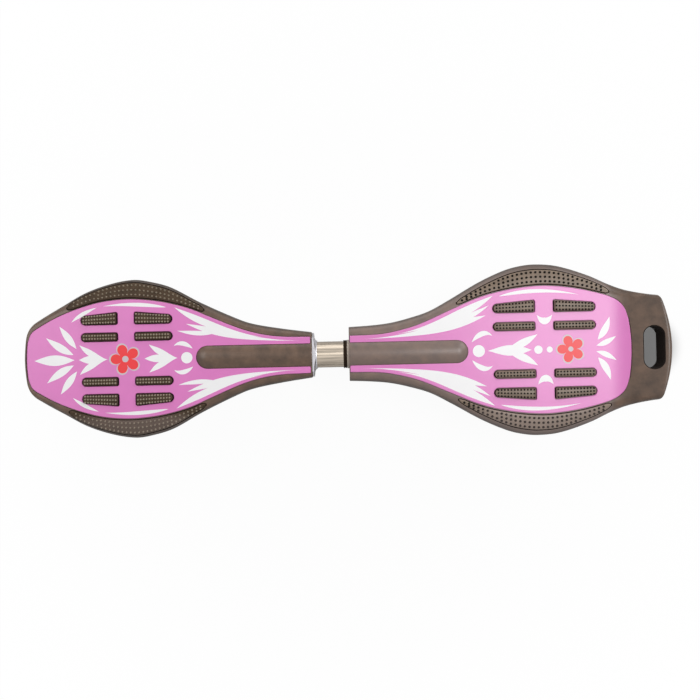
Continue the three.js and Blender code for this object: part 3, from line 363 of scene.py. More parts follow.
# %% Metal finishes
tube_steel = new_finish(
    "tube_steel", (0.440, 0.380, 0.310), 0.60, 0.30, 0.08, 0.6, 0.006, 1.0, 2.6, (0.03, 1, 1))
bolt_steel = new_finish("bolt_steel", (0.580, 0.570, 0.550), 0.08, 0.34, 0.08, 0.8, 0.005, 1.0)
cast_aluminium = new_finish("cast_aluminium", (0.520, 0.510, 0.540), 0.16, 0.28, 0.07, 0.9, 0.006, 1.0, 8)
fork_paint = new_finish("fork_paint", (0.024, 0.024, 0.026), 0.10, 0.36, 0.05, 1.6, 0.012)
fork_paint.node_tree.nodes["Principled BSDF"].inputs["Coat Weight"].default_value = 0.3
print("metals:", tube_steel.name, bolt_steel.name, cast_aluminium.name, fork_paint.name)

# %% [markdown]
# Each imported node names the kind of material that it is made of. Its node takes the finish of that kind
# here, so that the hidden pieces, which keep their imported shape, are finished too.

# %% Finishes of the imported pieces
finish_of_slot = {
    "deck_plastic": deck_plastic, "panel_plastic": panel_pink, "grip_rubber": grip_rubber,
    "tube_steel": tube_steel, "bolt_steel": bolt_steel, "cast_aluminium": cast_aluminium,
    "fork_paint": fork_paint, "seal_rubber": seal_rubber, "bush_nylon": bush_nylon,
    "hub_plastic": hub_plastic, "wheel_urethane": wheel_urethane,
}
for part in frame["record"]["subparts"]:
    node = frame["nodes"][part["node"]]
    node.data.materials.clear()
    node.data.materials.append(finish_of_slot[part["material_slot"]])

# %% [markdown]
# Every new piece below is worked out as an array of points in millimetres and a list of faces. These
# helpers put them in a mesh, merge doubled points, turn the faces outwards, smooth all but the sharp edges,
# and hand the piece to the body that carries it.

# %% Mesh helpers
def raw_mesh(name, points, faces, finish_index=None):
    """An object whose mesh holds the points, given in mm, with doubled ones merged and faces outwards."""
    mesh = bpy.data.meshes.new(name)
    mesh.from_pydata((np.asarray(points, float) * METRE).tolist(), [], [list(f) for f in faces])
    if finish_index is not None:
        mesh.polygons.foreach_set("material_index", np.asarray(finish_index, np.int32))
    shape = bmesh.new()
    shape.from_mesh(mesh)
    bmesh.ops.remove_doubles(shape, verts=shape.verts, dist=2e-6)
    bmesh.ops.recalc_face_normals(shape, faces=shape.faces)
    shape.to_mesh(mesh)
    shape.free()
    piece = bpy.data.objects.new(name, mesh)
    bpy.context.scene.collection.objects.link(piece)
    return piece


def smooth(piece, angle=32):
    """Smooth shading, but for edges that turn by more than the angle."""
    piece.data.polygons.foreach_set("use_smooth", np.ones(len(piece.data.polygons), bool))
    piece.data.set_sharp_from_angle(angle=math.radians(angle))
    return piece


def finished(piece, body, slot, nodes=(), finish=None, angle=32):
    """The piece rides on its body, takes its slot's finish unless a finish is given, when it keeps its own, and
    stands for the nodes.
    """
    smooth(piece, angle)
    if finish is None:
        piece.data.materials.clear()
        piece.data.materials.append(finish_of_slot[slot])
    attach(piece, body)
    if nodes:
        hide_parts(*nodes)
    return piece


print("finishes for", len(finish_of_slot), "kinds of material")

# %% [markdown]
# Most surfaces here are grids of points, whose faces follow from the number of rows and columns alone.
# Several meshes of one piece, such as a strip and its studs, are put in one object.

# %% Grids and joined meshes
def grid_faces(rows, columns, wrap_rows=False, wrap_columns=False):
    """The quads of a grid of points, row after row, which may close on itself either way."""
    r = np.arange(rows if wrap_rows else rows - 1)[:, None]
    c = np.arange(columns if wrap_columns else columns - 1)[None, :]
    r2, c2 = (r + 1) % rows, (c + 1) % columns
    quads = np.stack([r * columns + c, r * columns + c2, r2 * columns + c2, r2 * columns + c], -1)
    return quads.reshape(-1, 4).tolist()


def tube_faces(rows, columns):
    """The faces of a stack of closed rings, with the first and the last ring filled in."""
    caps = [list(range(columns)), list(range((rows - 1) * columns, rows * columns))]
    return grid_faces(rows, columns, False, True) + caps


def joined(name, pieces):
    """One object that holds the pieces' meshes."""
    whole = bmesh.new()
    for piece in pieces:
        whole.from_mesh(piece.data)
        bpy.data.objects.remove(piece)
    mesh = bpy.data.meshes.new(name)
    whole.to_mesh(mesh)
    whole.free()
    result = bpy.data.objects.new(name, mesh)
    bpy.context.scene.collection.objects.link(result)
    return result


print("a grid of 3 by 3 points has", len(grid_faces(3, 3)), "faces")

# %% [markdown]
# Turned pieces, such as the tube, the collar, tyres and bearings, are a profile carried round an axis. Real
# ones have no knife edges, so the corners of each profile are rounded before it is turned.

# %% Turned pieces
def rounded(corners, radius, steps=4, closed=True):
    """The corners of a profile, each replaced by an arc: points of the quadratic curve from one side of the
    corner to the other, whose ends lie a radius away or at most 0.45 of the side."""
    corners = np.asarray(corners, float)
    t = np.linspace(0, 1, steps + 1)[:, None]
    made = []
    for i, here in enumerate(corners):
        if not closed and i in (0, len(corners) - 1):
            made.append(here[None])
            continue
        before, after = corners[i - 1], corners[(i + 1) % len(corners)]
        ends = []
        for other in (before, after):
            side = other - here
            length = np.linalg.norm(side)
            ends.append(here + side * min(radius, 0.45 * length) / length)
        made.append(ends[0] * (1 - t) ** 2 + 2 * here * t * (1 - t) + ends[1] * t ** 2)
    return np.concatenate(made)


def axes_for(direction):
    """Two unit vectors square to a direction and to each other."""
    direction = np.asarray(direction, float)
    side = np.cross(direction, (0, 0, 1) if abs(direction[2]) < 0.9 else (1, 0, 0))
    side /= np.linalg.norm(side)
    return side, np.cross(direction, side)


def turned_points(profile, centre, direction, sides, closed=True):
    """The profile's radii r and heights h, turned round an axis d: centre + h d + r (cos a u + sin a v)."""
    profile = np.asarray(profile, float)
    u, v = axes_for(direction)
    a = np.linspace(0, 2 * np.pi, sides, endpoint=False)[None, :, None]
    r, h = profile[:, 0][:, None, None], profile[:, 1][:, None, None]
    out = np.cos(a) * u + np.sin(a) * v
    points = np.asarray(centre, float) + h * np.asarray(direction, float) + r * out
    return points.reshape(-1, 3), grid_faces(len(profile), sides, closed, True)


def turned(name, profile, centre, direction, sides=64, closed=True):
    """A turned solid: a ring where the profile closes on itself, a plug where it ends on the axis."""
    return raw_mesh(name, *turned_points(profile, centre, direction, sides, closed))


print("points of a rounded square:", len(rounded([(0, 0), (1, 0), (1, 1), (0, 1)], 0.1)))

# %% [markdown]
# A deck is one moulded shell. Seen from above its edge is a smooth curve, so a few pairs of numbers, each a
# share of the length and a share of the half width, are enough to draw it. The curve between them is a
# cubic whose slope at each pair comes from the pairs next to it.

# %% Smooth curves
def curve_through(pairs):
    """A smooth function through pairs. On each span t runs from 0 to 1, and the value is
    y0 + (y1 - y0) t t (3 - 2 t) + (s0 (1 - t) - s1 t) h t (1 - t), with s0 and s1 the slopes at its ends
    and h its length."""
    x, y = np.array(pairs, float).T
    slope = np.empty(len(x))
    slope[1:-1] = (y[2:] - y[:-2]) / (x[2:] - x[:-2])
    slope[0], slope[-1] = (y[1] - y[0]) / (x[1] - x[0]), (y[-1] - y[-2]) / (x[-1] - x[-2])

    def value(at):
        at = np.clip(at, x[0], x[-1])
        i = np.clip(np.searchsorted(x, at, side="right") - 1, 0, len(x) - 2)
        h = x[i + 1] - x[i]
        t = (at - x[i]) / h
        between = y[i] + (y[i + 1] - y[i]) * t * t * (3 - 2 * t)
        return between + (slope[i] * (1 - t) - slope[i + 1] * t) * h * t * (1 - t)

    return value


print("halfway up a curve from 0 to 1:", curve_through([(0, 0), (1, 1)])(np.array([0.5])))

# %% [markdown]
# The decks' lengths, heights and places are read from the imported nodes. Their outlines and what lies on
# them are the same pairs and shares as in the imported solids, but the surface is worked out far more finely,
# because a faceted rim would show as flats in the highlight. `way` is the sign of X from the waist to the
# deck's end, and `half` the widest half width. A share is of the length or of the half width.

# %% Deck measures
def edge(node, end, axis):
    """One face of a node's box in mm: end 0 is the lowest and 1 the highest, and axis 0 is X, 2 is Z."""
    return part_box(node)[end][axis] / METRE


panel_proud = 0.8
platform = edge("front_deck_panel", 1, 2) - panel_proud
joint_place = {joint["name"]: np.array(joint["pos_m"]) / METRE for joint in frame["joints"]}
tube_height = joint_place["deck_twist"][2]
spine_radius = 24.0
waist_depth = platform - tube_height + spine_radius
front = {
    "name": "front", "body": "front_deck", "way": -1, "half": 105.8,
    "waist": edge("front_deck_shell", 1, 0),
    "outline": curve_through([
        (0, 0.288), (0.11, 0.345), (0.215, 0.42), (0.285, 0.52), (0.39, 0.7), (0.49, 0.895),
        (0.56, 0.97), (0.62, 1), (0.7, 0.955), (0.79, 0.843), (0.875, 0.671), (0.945, 0.527),
        (0.975, 0.457), (0.992, 0.375), (1, 0.29)]),
    "panel": curve_through([
        (0, 0.226), (0.11, 0.238), (0.18, 0.277), (0.25, 0.352), (0.354, 0.509), (0.424, 0.616),
        (0.51, 0.7), (0.6, 0.742), (0.667, 0.742), (0.736, 0.711), (0.806, 0.642), (0.875, 0.547),
        (0.944, 0.417), (0.975, 0.335), (0.987, 0.23)]),
    "panel_start": 2.2, "panel_end": 0.987, "panel_bulge": 1.5,
    "tip_bulge": 2.5, "tip_depth": 19, "tip_corner": 1, "kick_length": 0,
    "strip": (0.3725, 0.8455), "strip_edge": 4.5, "stud_pitch": 5.5, "stud_radius": 1.4,
    "pads": ((0.483, 0.612), (0.672, 0.797)),
    "spine_length": 152.6, "bore_radius": 17.8, "bore_depth": 118.3, "ribs": (0.33, 0.48, 0.88),
}
rear = {
    "name": "rear", "body": "rear_deck", "way": 1, "half": 114.4,
    "waist": edge("rear_deck_shell", 0, 0),
    "outline": curve_through([
        (0, 0.316), (0.066, 0.328), (0.129, 0.352), (0.192, 0.405), (0.255, 0.479), (0.318, 0.601),
        (0.413, 0.8), (0.49, 0.928), (0.539, 0.979), (0.593, 1), (0.665, 0.975), (0.759, 0.863),
        (0.822, 0.755), (0.866, 0.687), (0.91, 0.642), (0.955, 0.615), (1, 0.6)]),
    "panel": curve_through([
        (0, 0.21), (0.098, 0.221), (0.161, 0.261), (0.224, 0.328), (0.318, 0.477), (0.413, 0.622),
        (0.507, 0.704), (0.6, 0.739), (0.665, 0.727), (0.728, 0.692), (0.791, 0.637), (0.83, 0.59),
        (0.856, 0.53), (0.873, 0.45), (0.883, 0.34)]),
    "panel_start": 1.3, "panel_end": 0.883, "panel_bulge": 3,
    "tip_bulge": 12.5, "tip_depth": 29, "tip_corner": 0.35, "kick_length": 81.4,
    "strip": (0.342, 0.82), "strip_edge": 8.0, "stud_pitch": 6.15, "stud_radius": 1.75,
    "pads": ((0.4545, 0.585), (0.645, 0.775)),
    "spine_length": 157, "bore_radius": 19.6, "bore_depth": 102.9, "ribs": (0.3, 0.66, 0.84),
}
skirt_depth = 26
for deck in (front, rear):
    shell = deck["name"] + "_deck_shell"
    deck["length"] = edge(shell, 1, 0) - edge(shell, 0, 0)
    deck["depth"] = curve_through([
        (0, waist_depth), (0.1, waist_depth), (0.24, (waist_depth + skirt_depth) / 2),
        (0.38, skirt_depth), (0.8, skirt_depth), (1, deck["tip_depth"])])
    print(deck["name"], "deck:", round(deck["length"], 1), "mm long, waist at", round(deck["waist"], 1))

# %% [markdown]
# Across the deck the top is flat, then turns down in a rounded rim to an upright skirt. Along it the top is
# flat too, until the rear deck kicks up in an arc and a straight slope that ends in the handle. The
# functions below give those heights and widths for whole arrays of places at once.

# %% Deck surface functions
rim_drop, rim_edge, tip_rounding, side_draft = 11.0, 8.0, 6.0, 3.0
kick_radius, kick_angle = 100.0, math.radians(18)
panel_gap, panel_thickness = 0.5, 2.0
bend_share, fade_share = 0.12, 0.1


def tip_fall(deck, u):
    """How far the rounded end drops: r (1 - sqrt(1 - k k)), with k from 0 to 1 over the last r mm."""
    k = np.clip((u - deck["length"] + tip_rounding) / tip_rounding, 0, 1)
    return tip_rounding * (1 - np.sqrt(1 - k * k))


def half_width(deck, u):
    """From the centre line to the deck's edge."""
    return deck["outline"](u / deck["length"]) * deck["half"] - deck["tip_corner"] * tip_fall(deck, u)


def panel_half(deck, u):
    """From the centre line to the edge of the foot panel."""
    return deck["panel"](u / deck["length"]) * deck["half"]


def rim_start(deck, u):
    """Where the flat top turns into the rim: at the panel's edge, or at the tip rim_edge from the edge."""
    width = half_width(deck, u)
    beside = width - panel_half(deck, u) - panel_gap
    t = np.clip((u / deck["length"] - deck["strip"][1]) / fade_share, 0, 1)
    return width - beside * (1 - t) - rim_edge * t


def top(deck, u):
    """Height of the flat top: level, then r - sqrt(r r - d d) higher on a kick, then a straight slope."""
    if not deck["kick_length"]:
        return np.full(np.shape(u), platform)
    past = np.asarray(u, float) - (deck["length"] - deck["kick_length"])
    arc = kick_radius * math.sin(kick_angle)
    bend = kick_radius - np.sqrt(kick_radius ** 2 - np.clip(past, 0, arc) ** 2)
    return platform + bend + np.clip(past - arc, 0, None) * math.tan(kick_angle)


def bow(deck, u, bulge, end_share):
    """How far a section's edges bend towards the waist: bulge k k, with k from 0 to 1 towards the end."""
    k = np.clip((u / deck["length"] - end_share + bend_share) / bend_share, 0, 1)
    return bulge * k * k


def deck_points(deck, u, y, z):
    """Points u mm along a deck from its waist, y mm to the side of the centre line, and z mm high."""
    u, y, z = np.broadcast_arrays(u, y, z)
    return np.stack([deck["waist"] + deck["way"] * u, y, z], -1)


for deck in (front, rear):
    u = np.linspace(0, deck["length"], 400)
    widest, highest = 2 * half_width(deck, u).max(), top(deck, u).max()
    print(deck["name"], "deck: widest", round(widest, 1), "mm, highest", round(highest, 1))

# %% [markdown]
# Most solids here are slabs: an upper and a lower sheet of points that match one to one, closed by walls
# round the edge. The deck, the seat for its panel, the rail strips and simple blocks are all made that way.
# Solids are then joined and cut with Boolean modifiers that are applied at once, which leaves plain meshes.

# %% Slabs and Boolean steps
def slab(name, upper, lower):
    """A solid between two matching grids of points, with the four edges walled."""
    rows, columns = upper.shape[:2]
    index = np.arange(rows * columns).reshape(rows, columns)
    rim = np.concatenate([index[0, :-1], index[:-1, -1], index[-1, :0:-1], index[:0:-1, 0]])
    other = np.roll(rim, -1)
    under = rows * columns
    walls = np.stack([rim, other, other + under, rim + under], -1).tolist()
    faces = grid_faces(rows, columns)
    faces += [[i + under for i in reversed(face)] for face in faces] + walls
    return raw_mesh(name, np.concatenate([upper.reshape(-1, 3), lower.reshape(-1, 3)]), faces)


def block(name, low, high):
    """A box between two corners."""
    x, y = np.meshgrid([low[0], high[0]], [low[1], high[1]], indexing="ij")
    return slab(name, np.stack([x, y, x * 0 + high[2]], -1), np.stack([x, y, x * 0 + low[2]], -1))


def in_finish(finish, piece):
    """The piece in one finish, which the faces keep that it cuts into another."""
    piece.data.materials.clear()
    piece.data.materials.append(finish)
    return piece


def combined(piece, tools, operation):
    """The piece after each tool in turn is joined to it, cut from it or intersected with it."""
    for tool in tools:
        step = piece.modifiers.new("step", "BOOLEAN")
        step.operation, step.solver, step.object = operation, "MANIFOLD", tool
        made = bpy.data.meshes.new_from_object(piece.evaluated_get(bpy.context.evaluated_depsgraph_get()))
        piece.modifiers.clear()
        piece.data = made
        bpy.data.objects.remove(tool)
    return piece


box = block("box", (0, 0, 0), (1, 1, 1))
print("a block has", len(box.data.polygons), "faces")
bpy.data.objects.remove(box)

# %% [markdown]
# Other solids are plates: an outline raised from one level to another, such as a grip pad, a gusset or a
# spoke. The outline is moved inwards for each ring that rounds an edge, along the middle direction of the
# two sides that meet at a point.

# %% Plates
def offset(outline, by):
    """A closed outline moved to its left by an amount, which is inwards where it runs anticlockwise."""
    before = outline - np.roll(outline, 1, 0)
    after = np.roll(outline, -1, 0) - outline
    before /= np.linalg.norm(before, axis=1, keepdims=True)
    after /= np.linalg.norm(after, axis=1, keepdims=True)
    left = np.stack([-(before + after)[:, 1], (before + after)[:, 0]], -1)
    left /= np.linalg.norm(left, axis=1, keepdims=True)
    lean = np.clip((left * np.stack([-after[:, 1], after[:, 0]], -1)).sum(1, keepdims=True), 0.5, 1)
    return outline + left * by / lean


def plate(name, outline, low, high, place, round_low=0.0, round_high=0.0, draft=0.0):
    """An anticlockwise outline raised from one level to another, with either edge rounded by a quarter
    circle, and drawn in by the draft on its way up. place turns an array of outline points and a level into
    points in space."""
    rings = []
    for turn in np.linspace(0, np.pi / 2, 4 if round_low else 1):
        rings.append((round_low * (1 - np.sin(turn)), low + round_low * (1 - np.cos(turn))))
    for turn in np.linspace(np.pi / 2, 0, 4 if round_high else 1):
        rings.append((draft + round_high * (1 - np.sin(turn)), high - round_high * (1 - np.cos(turn))))
    points = np.concatenate([place(offset(outline, by), level) for by, level in rings])
    return raw_mesh(name, points, tube_faces(len(rings), len(outline)))


def level_place(outline, level):
    """Outline points in X and Y, at a height."""
    return np.column_stack([outline, np.full(len(outline), level)])


print("a square moved inwards:", offset(np.array([(0.0, 0), (4, 0), (4, 4), (0, 4)]), 1).round(2).tolist())

# %% [markdown]
# The tube's housing rises through the middle of each panel as a half-round spine with a domed end. The same
# capsule shape is joined to the shell and kept clear of its seats, and a slightly fatter one is cut from the
# panel.

# %% Spine and panel seat
spine_centre = 14.3


def spine(deck, grow=0.0, overrun=0.0):
    """A capsule round the tube's axis: radius r up to its centre, and r cos a at r sin a beyond it."""
    radius = spine_radius + grow
    centre = deck["spine_length"] - spine_centre
    a = np.linspace(0, np.pi / 2, 17)[1:]
    dome = np.column_stack([radius * np.cos(a), centre + radius * np.sin(a)])
    profile = np.vstack([(0, -overrun), (radius, -overrun), (radius, centre), dome])
    return turned("spine", profile, (deck["waist"], 0, tube_height), (deck["way"], 0, 0), 96, False)


def panel_slab(deck, grow, below, above):
    """The panel's outline, grown by an amount, from below the platform to above it."""
    end = deck["panel_end"] * deck["length"]
    start = deck["panel_start"] - panel_gap
    tip = np.linspace(end - tip_rounding, end, 7)
    u = np.concatenate([np.arange(start, end - tip_rounding, 3.0), tip, [end + grow]])[:, None]
    width = panel_half(deck, np.clip(u, 0, None)) + grow
    y = width * np.linspace(-1, 1, 21)
    along = u - bow(deck, u, deck["panel_bulge"], deck["panel_end"]) * (y / width) ** 2
    height = top(deck, np.minimum(along, end))
    upper = deck_points(deck, along, y, height + above)
    lower = deck_points(deck, along, y, height - below)
    return slab("panel_seat", upper, lower)


print("spine radius:", spine_radius, "mm, middle of its dome", spine_centre, "mm before its end")

# %% [markdown]
# The rail strips lie on the curve of the rim. A point on the rim is found from its distance from the centre
# line, then pushed out square to the rim's quarter ellipse, so that a strip is equally thick all over.

# %% Rim points and strip solids
strip_tip, strip_inset = 8.0, 2.0


def rim_points(deck, u, y, raise_by):
    """The rim at a distance y from the centre line: with sin a = (y - start) / (width - start), the height
    is the top less rim_drop (1 - cos a), and the point moves out along the ellipse's normal."""
    width, start = half_width(deck, u), rim_start(deck, u)
    turn = np.arcsin(np.clip((y - start) / (width - start), 0, 1))
    slope_y, slope_z = (width - start) * np.cos(turn), rim_drop * np.sin(turn)
    length = np.hypot(slope_y, slope_z)
    height = top(deck, u) - rim_drop * (1 - np.cos(turn))
    return u, y + raise_by * slope_z / length, height + raise_by * slope_y / length


def strip_reach(deck, u):
    """Centre line and half width of a strip, times sqrt(1 - (1 - k)^2) with k from 0 to 1 along its tip."""
    start, end = (share * deck["length"] for share in deck["strip"])
    inner, outer = rim_start(deck, u) + strip_inset, half_width(deck, u) - deck["strip_edge"]
    k = np.clip(np.minimum(u - start, end - u) / strip_tip, 0, 1)
    return (inner + outer) / 2, (outer - inner) / 2 * np.sqrt(1 - (1 - k) ** 2)


def strip_slab(deck, side, grow, sink, raise_by, edge_round=0.0):
    """A rail strip between two surfaces that follow the rim, with its upper edges rounded."""
    start, end = (share * deck["length"] for share in deck["strip"])
    tips = strip_tip * (1 - np.cos(np.linspace(0.12, np.pi / 2, 9)))
    between = np.arange(start + strip_tip + 3, end - strip_tip - 3, 3.0)
    u = np.concatenate([start + tips, between, end - tips[::-1]])
    near_start = np.clip(1 - (u - start) / strip_tip, 0, 1)
    near_end = np.clip(1 - (end - u) / strip_tip, 0, 1)
    u = (u + near_start * -grow + near_end * grow)[:, None]
    centre, reach = strip_reach(deck, np.clip(u, start + 0.06, end - 0.06))
    across = np.sin(np.linspace(-np.pi / 2, np.pi / 2, 17))[None, :]
    y = centre + (reach + grow) * across
    from_edge = np.clip((reach + grow) * (1 - np.abs(across)) / max(edge_round, 0.01), 0, 1)
    from_tip = np.clip(np.minimum(u - u[0], u[-1] - u) / max(edge_round, 0.01), 0, 1)
    from_edge = np.minimum(from_edge, from_tip)
    lift = raise_by - edge_round * (1 - np.sqrt(1 - (1 - from_edge) ** 2))
    upper = deck_points(deck, *rim_points(deck, u, y, lift))
    lower = deck_points(deck, *rim_points(deck, u, y, -sink))
    for points in (upper, lower):
        points[..., 1] *= side
    return slab("rail_strip", upper, lower)


for deck in (front, rear):
    start, end = (share * deck["length"] for share in deck["strip"])
    print(deck["name"], "strips:", round(end - start), "mm long")

# %% [markdown]
# Under each deck sits a boss whose axis leans 30 degrees, because the caster's swivel axis does: that lean
# is what makes the board steer itself. Boss, gussets and the holes for the kingpin share one pair of
# directions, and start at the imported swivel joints.

# %% Directions of the tilted swivel axis
boss_radius, kingpin_radius, nut_height, rod_round = 28.0, 5.0, 8.0, 1.5
nut_cover, thread_end, clearance = 6.5, 3.0, 0.3
tilt = math.radians(30)
swivel_up = np.array([-math.sin(tilt), 0, math.cos(tilt)])
swivel_side = np.array([math.cos(tilt), 0, math.sin(tilt)])
pivots = {name: joint_place[name + "_caster_swivel"] for name in ("front", "rear")}
pivot_to_deck = platform - pivots["front"][2]
boss_length = (pivot_to_deck + boss_radius * math.sin(tilt)) / math.cos(tilt)
kingpin_tip = (pivot_to_deck - nut_cover - kingpin_radius * math.sin(tilt)) / math.cos(tilt)
nut_top = kingpin_tip - thread_end
nut_foot = nut_top - nut_height


def rod(name, radius, start, end, centre, direction, sides=64, edge_round=0.0):
    """A cylinder along a direction, measured from a centre, with its first edge rounded."""
    profile = [(0, start), (radius, start), (radius, end), (0, end)]
    if edge_round:
        profile = rounded(profile[:3], edge_round, closed=False).tolist() + [(0, end)]
    return turned(name, profile, centre, direction, sides, False)


def middle_x(node):
    """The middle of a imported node's box along X."""
    return (edge(node, 0, 0) + edge(node, 1, 0)) / 2


def anchor_bolts(deck):
    """The bolts that go up into the tube's housing."""
    return ["front_anchor_bolt", "front_clamp_bolt"] if deck is front else ["rear_anchor_bolt"]


print("pivots at", {name: place.round(1).tolist() for name, place in pivots.items()})

# %% [markdown]
# The shell is built the way a mould sees it: the outer body, hollowed from below by a cavity that leaves
# the ribs standing, plus boss, gussets and spine, less every seat and hole. The outer body's edges are
# eased at the waist, round at the rim and at the far end, and broken in two small steps at its foot.

# %% Deck bodies
ease, foot_break, foot_step, foot_spread = 0.8, 1.2, 0.35, 0.25


def outer_body(deck):
    """The deck's outer form. Columns run from one skirt across the top to the other, and the rim is a
    quarter ellipse, start + (width - start) sin a wide and rim_drop (1 - cos a) below the top."""
    length = deck["length"]
    straight = length - tip_rounding
    tip = straight + tip_rounding * np.sin(np.linspace(0, np.pi / 2, 9))
    u = np.concatenate([[0, 0.1, 0.3, 0.55, ease], np.arange(3, straight - 1, 3.0), tip])[:, None]
    eased = ease * (1 - np.sqrt(1 - np.clip(1 - u / ease, 0, 1) ** 2))
    width, start, fall = half_width(deck, u) - eased, rim_start(deck, u), tip_fall(deck, u) + eased
    turn = np.linspace(0, np.pi / 2, 11)[1:]
    rim_y = start + (width - start) * np.sin(turn)
    y = np.hstack([-rim_y[:, ::-1], start * np.linspace(-1, 1, 21), rim_y])
    drop = np.zeros(y.shape)
    drop[:, -10:] = (rim_drop - fall) * (1 - np.cos(turn))
    drop[:, :10] = drop[:, :-11:-1]
    bend = bow(deck, u, deck["tip_bulge"], 1)
    along = u - bend * (y / width) ** 2
    upper = deck_points(deck, along, y, top(deck, along) - fall - drop)
    foot = width - side_draft
    inner = (foot - foot_break) * np.linspace(-1, 1, 37)
    low_y = np.hstack([
        -foot - foot_spread, -foot + foot_step, inner, foot - foot_step, foot + foot_spread])
    lift = np.zeros(low_y.shape)
    lift[:, [0, -1]], lift[:, [1, -2]] = foot_break, foot_step
    along = u - bend * (low_y / width) ** 2
    lower = deck_points(deck, along, low_y, top(deck, along) - deck["depth"](along / length) + lift)
    return slab(deck["name"] + "_shell", upper, lower)


print("deck bodies are", skirt_depth, "mm deep at the skirt")

# %% [markdown]
# The cavity is the deck's form again, smaller by the wall, and open downwards. Blocks taken out of it
# become ribs.

# %% Cavities
wall, plate_thickness, rib_half, rib_depth, beyond = 3.5, 6.0, 1.5, 12, 60


def cavity(deck):
    """The hollow under the plate, less three ribs along the deck and three across it."""
    last = deck["length"] - tip_rounding - wall
    u = np.concatenate([np.arange(wall, last - 1, 4.0), [last]])[:, None]
    width, start = half_width(deck, u), rim_start(deck, u) - wall
    ceiling = top(deck, u) - plate_thickness
    side = width - side_draft - wall
    y = np.hstack([-side, start * np.linspace(-1, 1, 9), side])
    height = np.hstack([ceiling - rim_drop, np.repeat(ceiling, 9, 1), ceiling - rim_drop])
    bend = bow(deck, u, deck["tip_bulge"], 1) * (y / width) ** 2
    upper = deck_points(deck, u - bend, y, height)
    lower = deck_points(deck, u - bend, y, top(deck, u) - deck["depth"](u / deck["length"]) - 30)
    hollow = slab("cavity", upper, lower)
    low, high, far = platform - plate_thickness - rib_depth, platform + beyond, deck["half"] + 20
    ribs = []
    for share in deck["ribs"]:
        x = deck["waist"] + deck["way"] * share * deck["length"]
        ribs.append(block("rib", (x - rib_half, -far, low), (x + rib_half, far, high)))
    for share in (-0.5, 0, 0.5):
        y = share * deck["half"]
        ends = sorted((deck["waist"], deck["waist"] + deck["way"] * deck["length"]))
        ribs.append(block("rib", (ends[0], y - rib_half, low), (ends[1], y + rib_half, high)))
    return combined(hollow, ribs, "DIFFERENCE")


print("ribs under the front deck:", len(front["ribs"]), "across and 3 along")

# %% [markdown]
# The boss is a plain cylinder on the swivel axis, long enough to reach into the plate. It takes the rider's
# weight at a slant, so webs brace it on both sides and towards the nose. Each web is a plate stood on edge
# along its own direction.

# %% Boss and gussets
gusset_reach, gusset_half, gusset_rise, up = 34, 2.5, 7.6, np.array([0, 0, 1])


def boss_and_gussets(deck):
    """The leaning boss over the fork, and three webs that brace it against the deck."""
    pivot = pivots[deck["name"]]
    boss = rod("boss", boss_radius, 0, boss_length, pivot, swivel_up, 96, rod_round)
    ceiling = platform - plate_thickness / 2
    middle = pivot[0] - (ceiling - pivot[2]) * math.tan(tilt) / 2
    braces = []
    for angle, rise in ((90, gusset_rise), (-90, gusset_rise), (180, 0)):
        foot, reach = pivot[2] + rise, boss_radius + gusset_reach
        outline = rounded([(0, foot), (boss_radius / 3, foot), (reach, ceiling), (0, ceiling)], 2.5)
        way = np.array([math.cos(math.radians(angle)), math.sin(math.radians(angle)), 0])
        across = np.array([-way[1], way[0], 0])

        def stood(points, level, way=way, across=across):
            return np.array([middle, 0, 0]) + points[:, :1] * way + level * across + points[:, 1:] * up

        brace = plate("gusset", outline, -gusset_half, gusset_half, stood, round_low=0.8, round_high=0.8)
        braces.append(brace)
    return [boss] + braces


print("boss:", round(boss_length, 1), "mm long")

# %% [markdown]
# The handle slot in the tail has a wall of its own, so that fingers meet a closed tunnel and not the hollow
# of the deck. Its upper edge is flared by a quarter circle, because a hand carries the board by it.

# %% Handle slot
slot_length, slot_width, slot_edge, slot_wall, slot_flare = 55.5, 23.5, 10.5, 3.5, 1.3
slot_count = 50


def slot_outline(deck, grow):
    """Two half circles joined by straight sides, its long way across the board."""
    centre = deck["waist"] + deck["length"] - slot_edge - slot_width / 2
    radius, straight = slot_width / 2, (slot_length - slot_width) / 2
    a = np.linspace(0, np.pi, slot_count // 2)
    a = np.concatenate([a, a + np.pi])
    x = centre + (radius + grow) * np.cos(a)
    y = (radius + grow) * np.sin(a) + np.repeat([straight, -straight], slot_count // 2)
    return np.column_stack([x, y])


def slot_cutter(deck):
    """The slot's opening: with f the flare and t from 0 to 90 degrees, the outline grows by f (1 - cos t)
    where it is f (1 - sin t) below the top."""
    rings, heights = [slot_outline(deck, 0)], [np.zeros(slot_count)]
    for turn in np.linspace(0, np.pi / 2, 7):
        ring = slot_outline(deck, slot_flare * (1 - math.cos(turn)))
        rings.append(ring)
        heights.append(top(deck, ring[:, 0] - deck["waist"]) - slot_flare * (1 - math.sin(turn)))
    rings.append(slot_outline(deck, slot_flare))
    heights.append(np.full(slot_count, platform + beyond))
    points = np.concatenate([np.column_stack([r, h]) for r, h in zip(rings, heights)])
    return raw_mesh("slot_cutter", points, tube_faces(len(rings), slot_count))


print("handle slot:", slot_length, "by", slot_width, "mm")

# %% [markdown]
# Now both shells are put together. Every seat is cut a little larger than what sits in it, by the same gaps
# as in the imported solids, so that a fine dark line shows round each insert as it does on the real board.
# The seats' walls are painted dark, as shade.

# %% Seats for the grip mats
narrow_near, wide_near = 0.2295, 0.4387
narrow_width, wide_width, wide_end_width = 10.6, 15.6, 11.4
mat_border, mat_depth = 2.4, 3.0


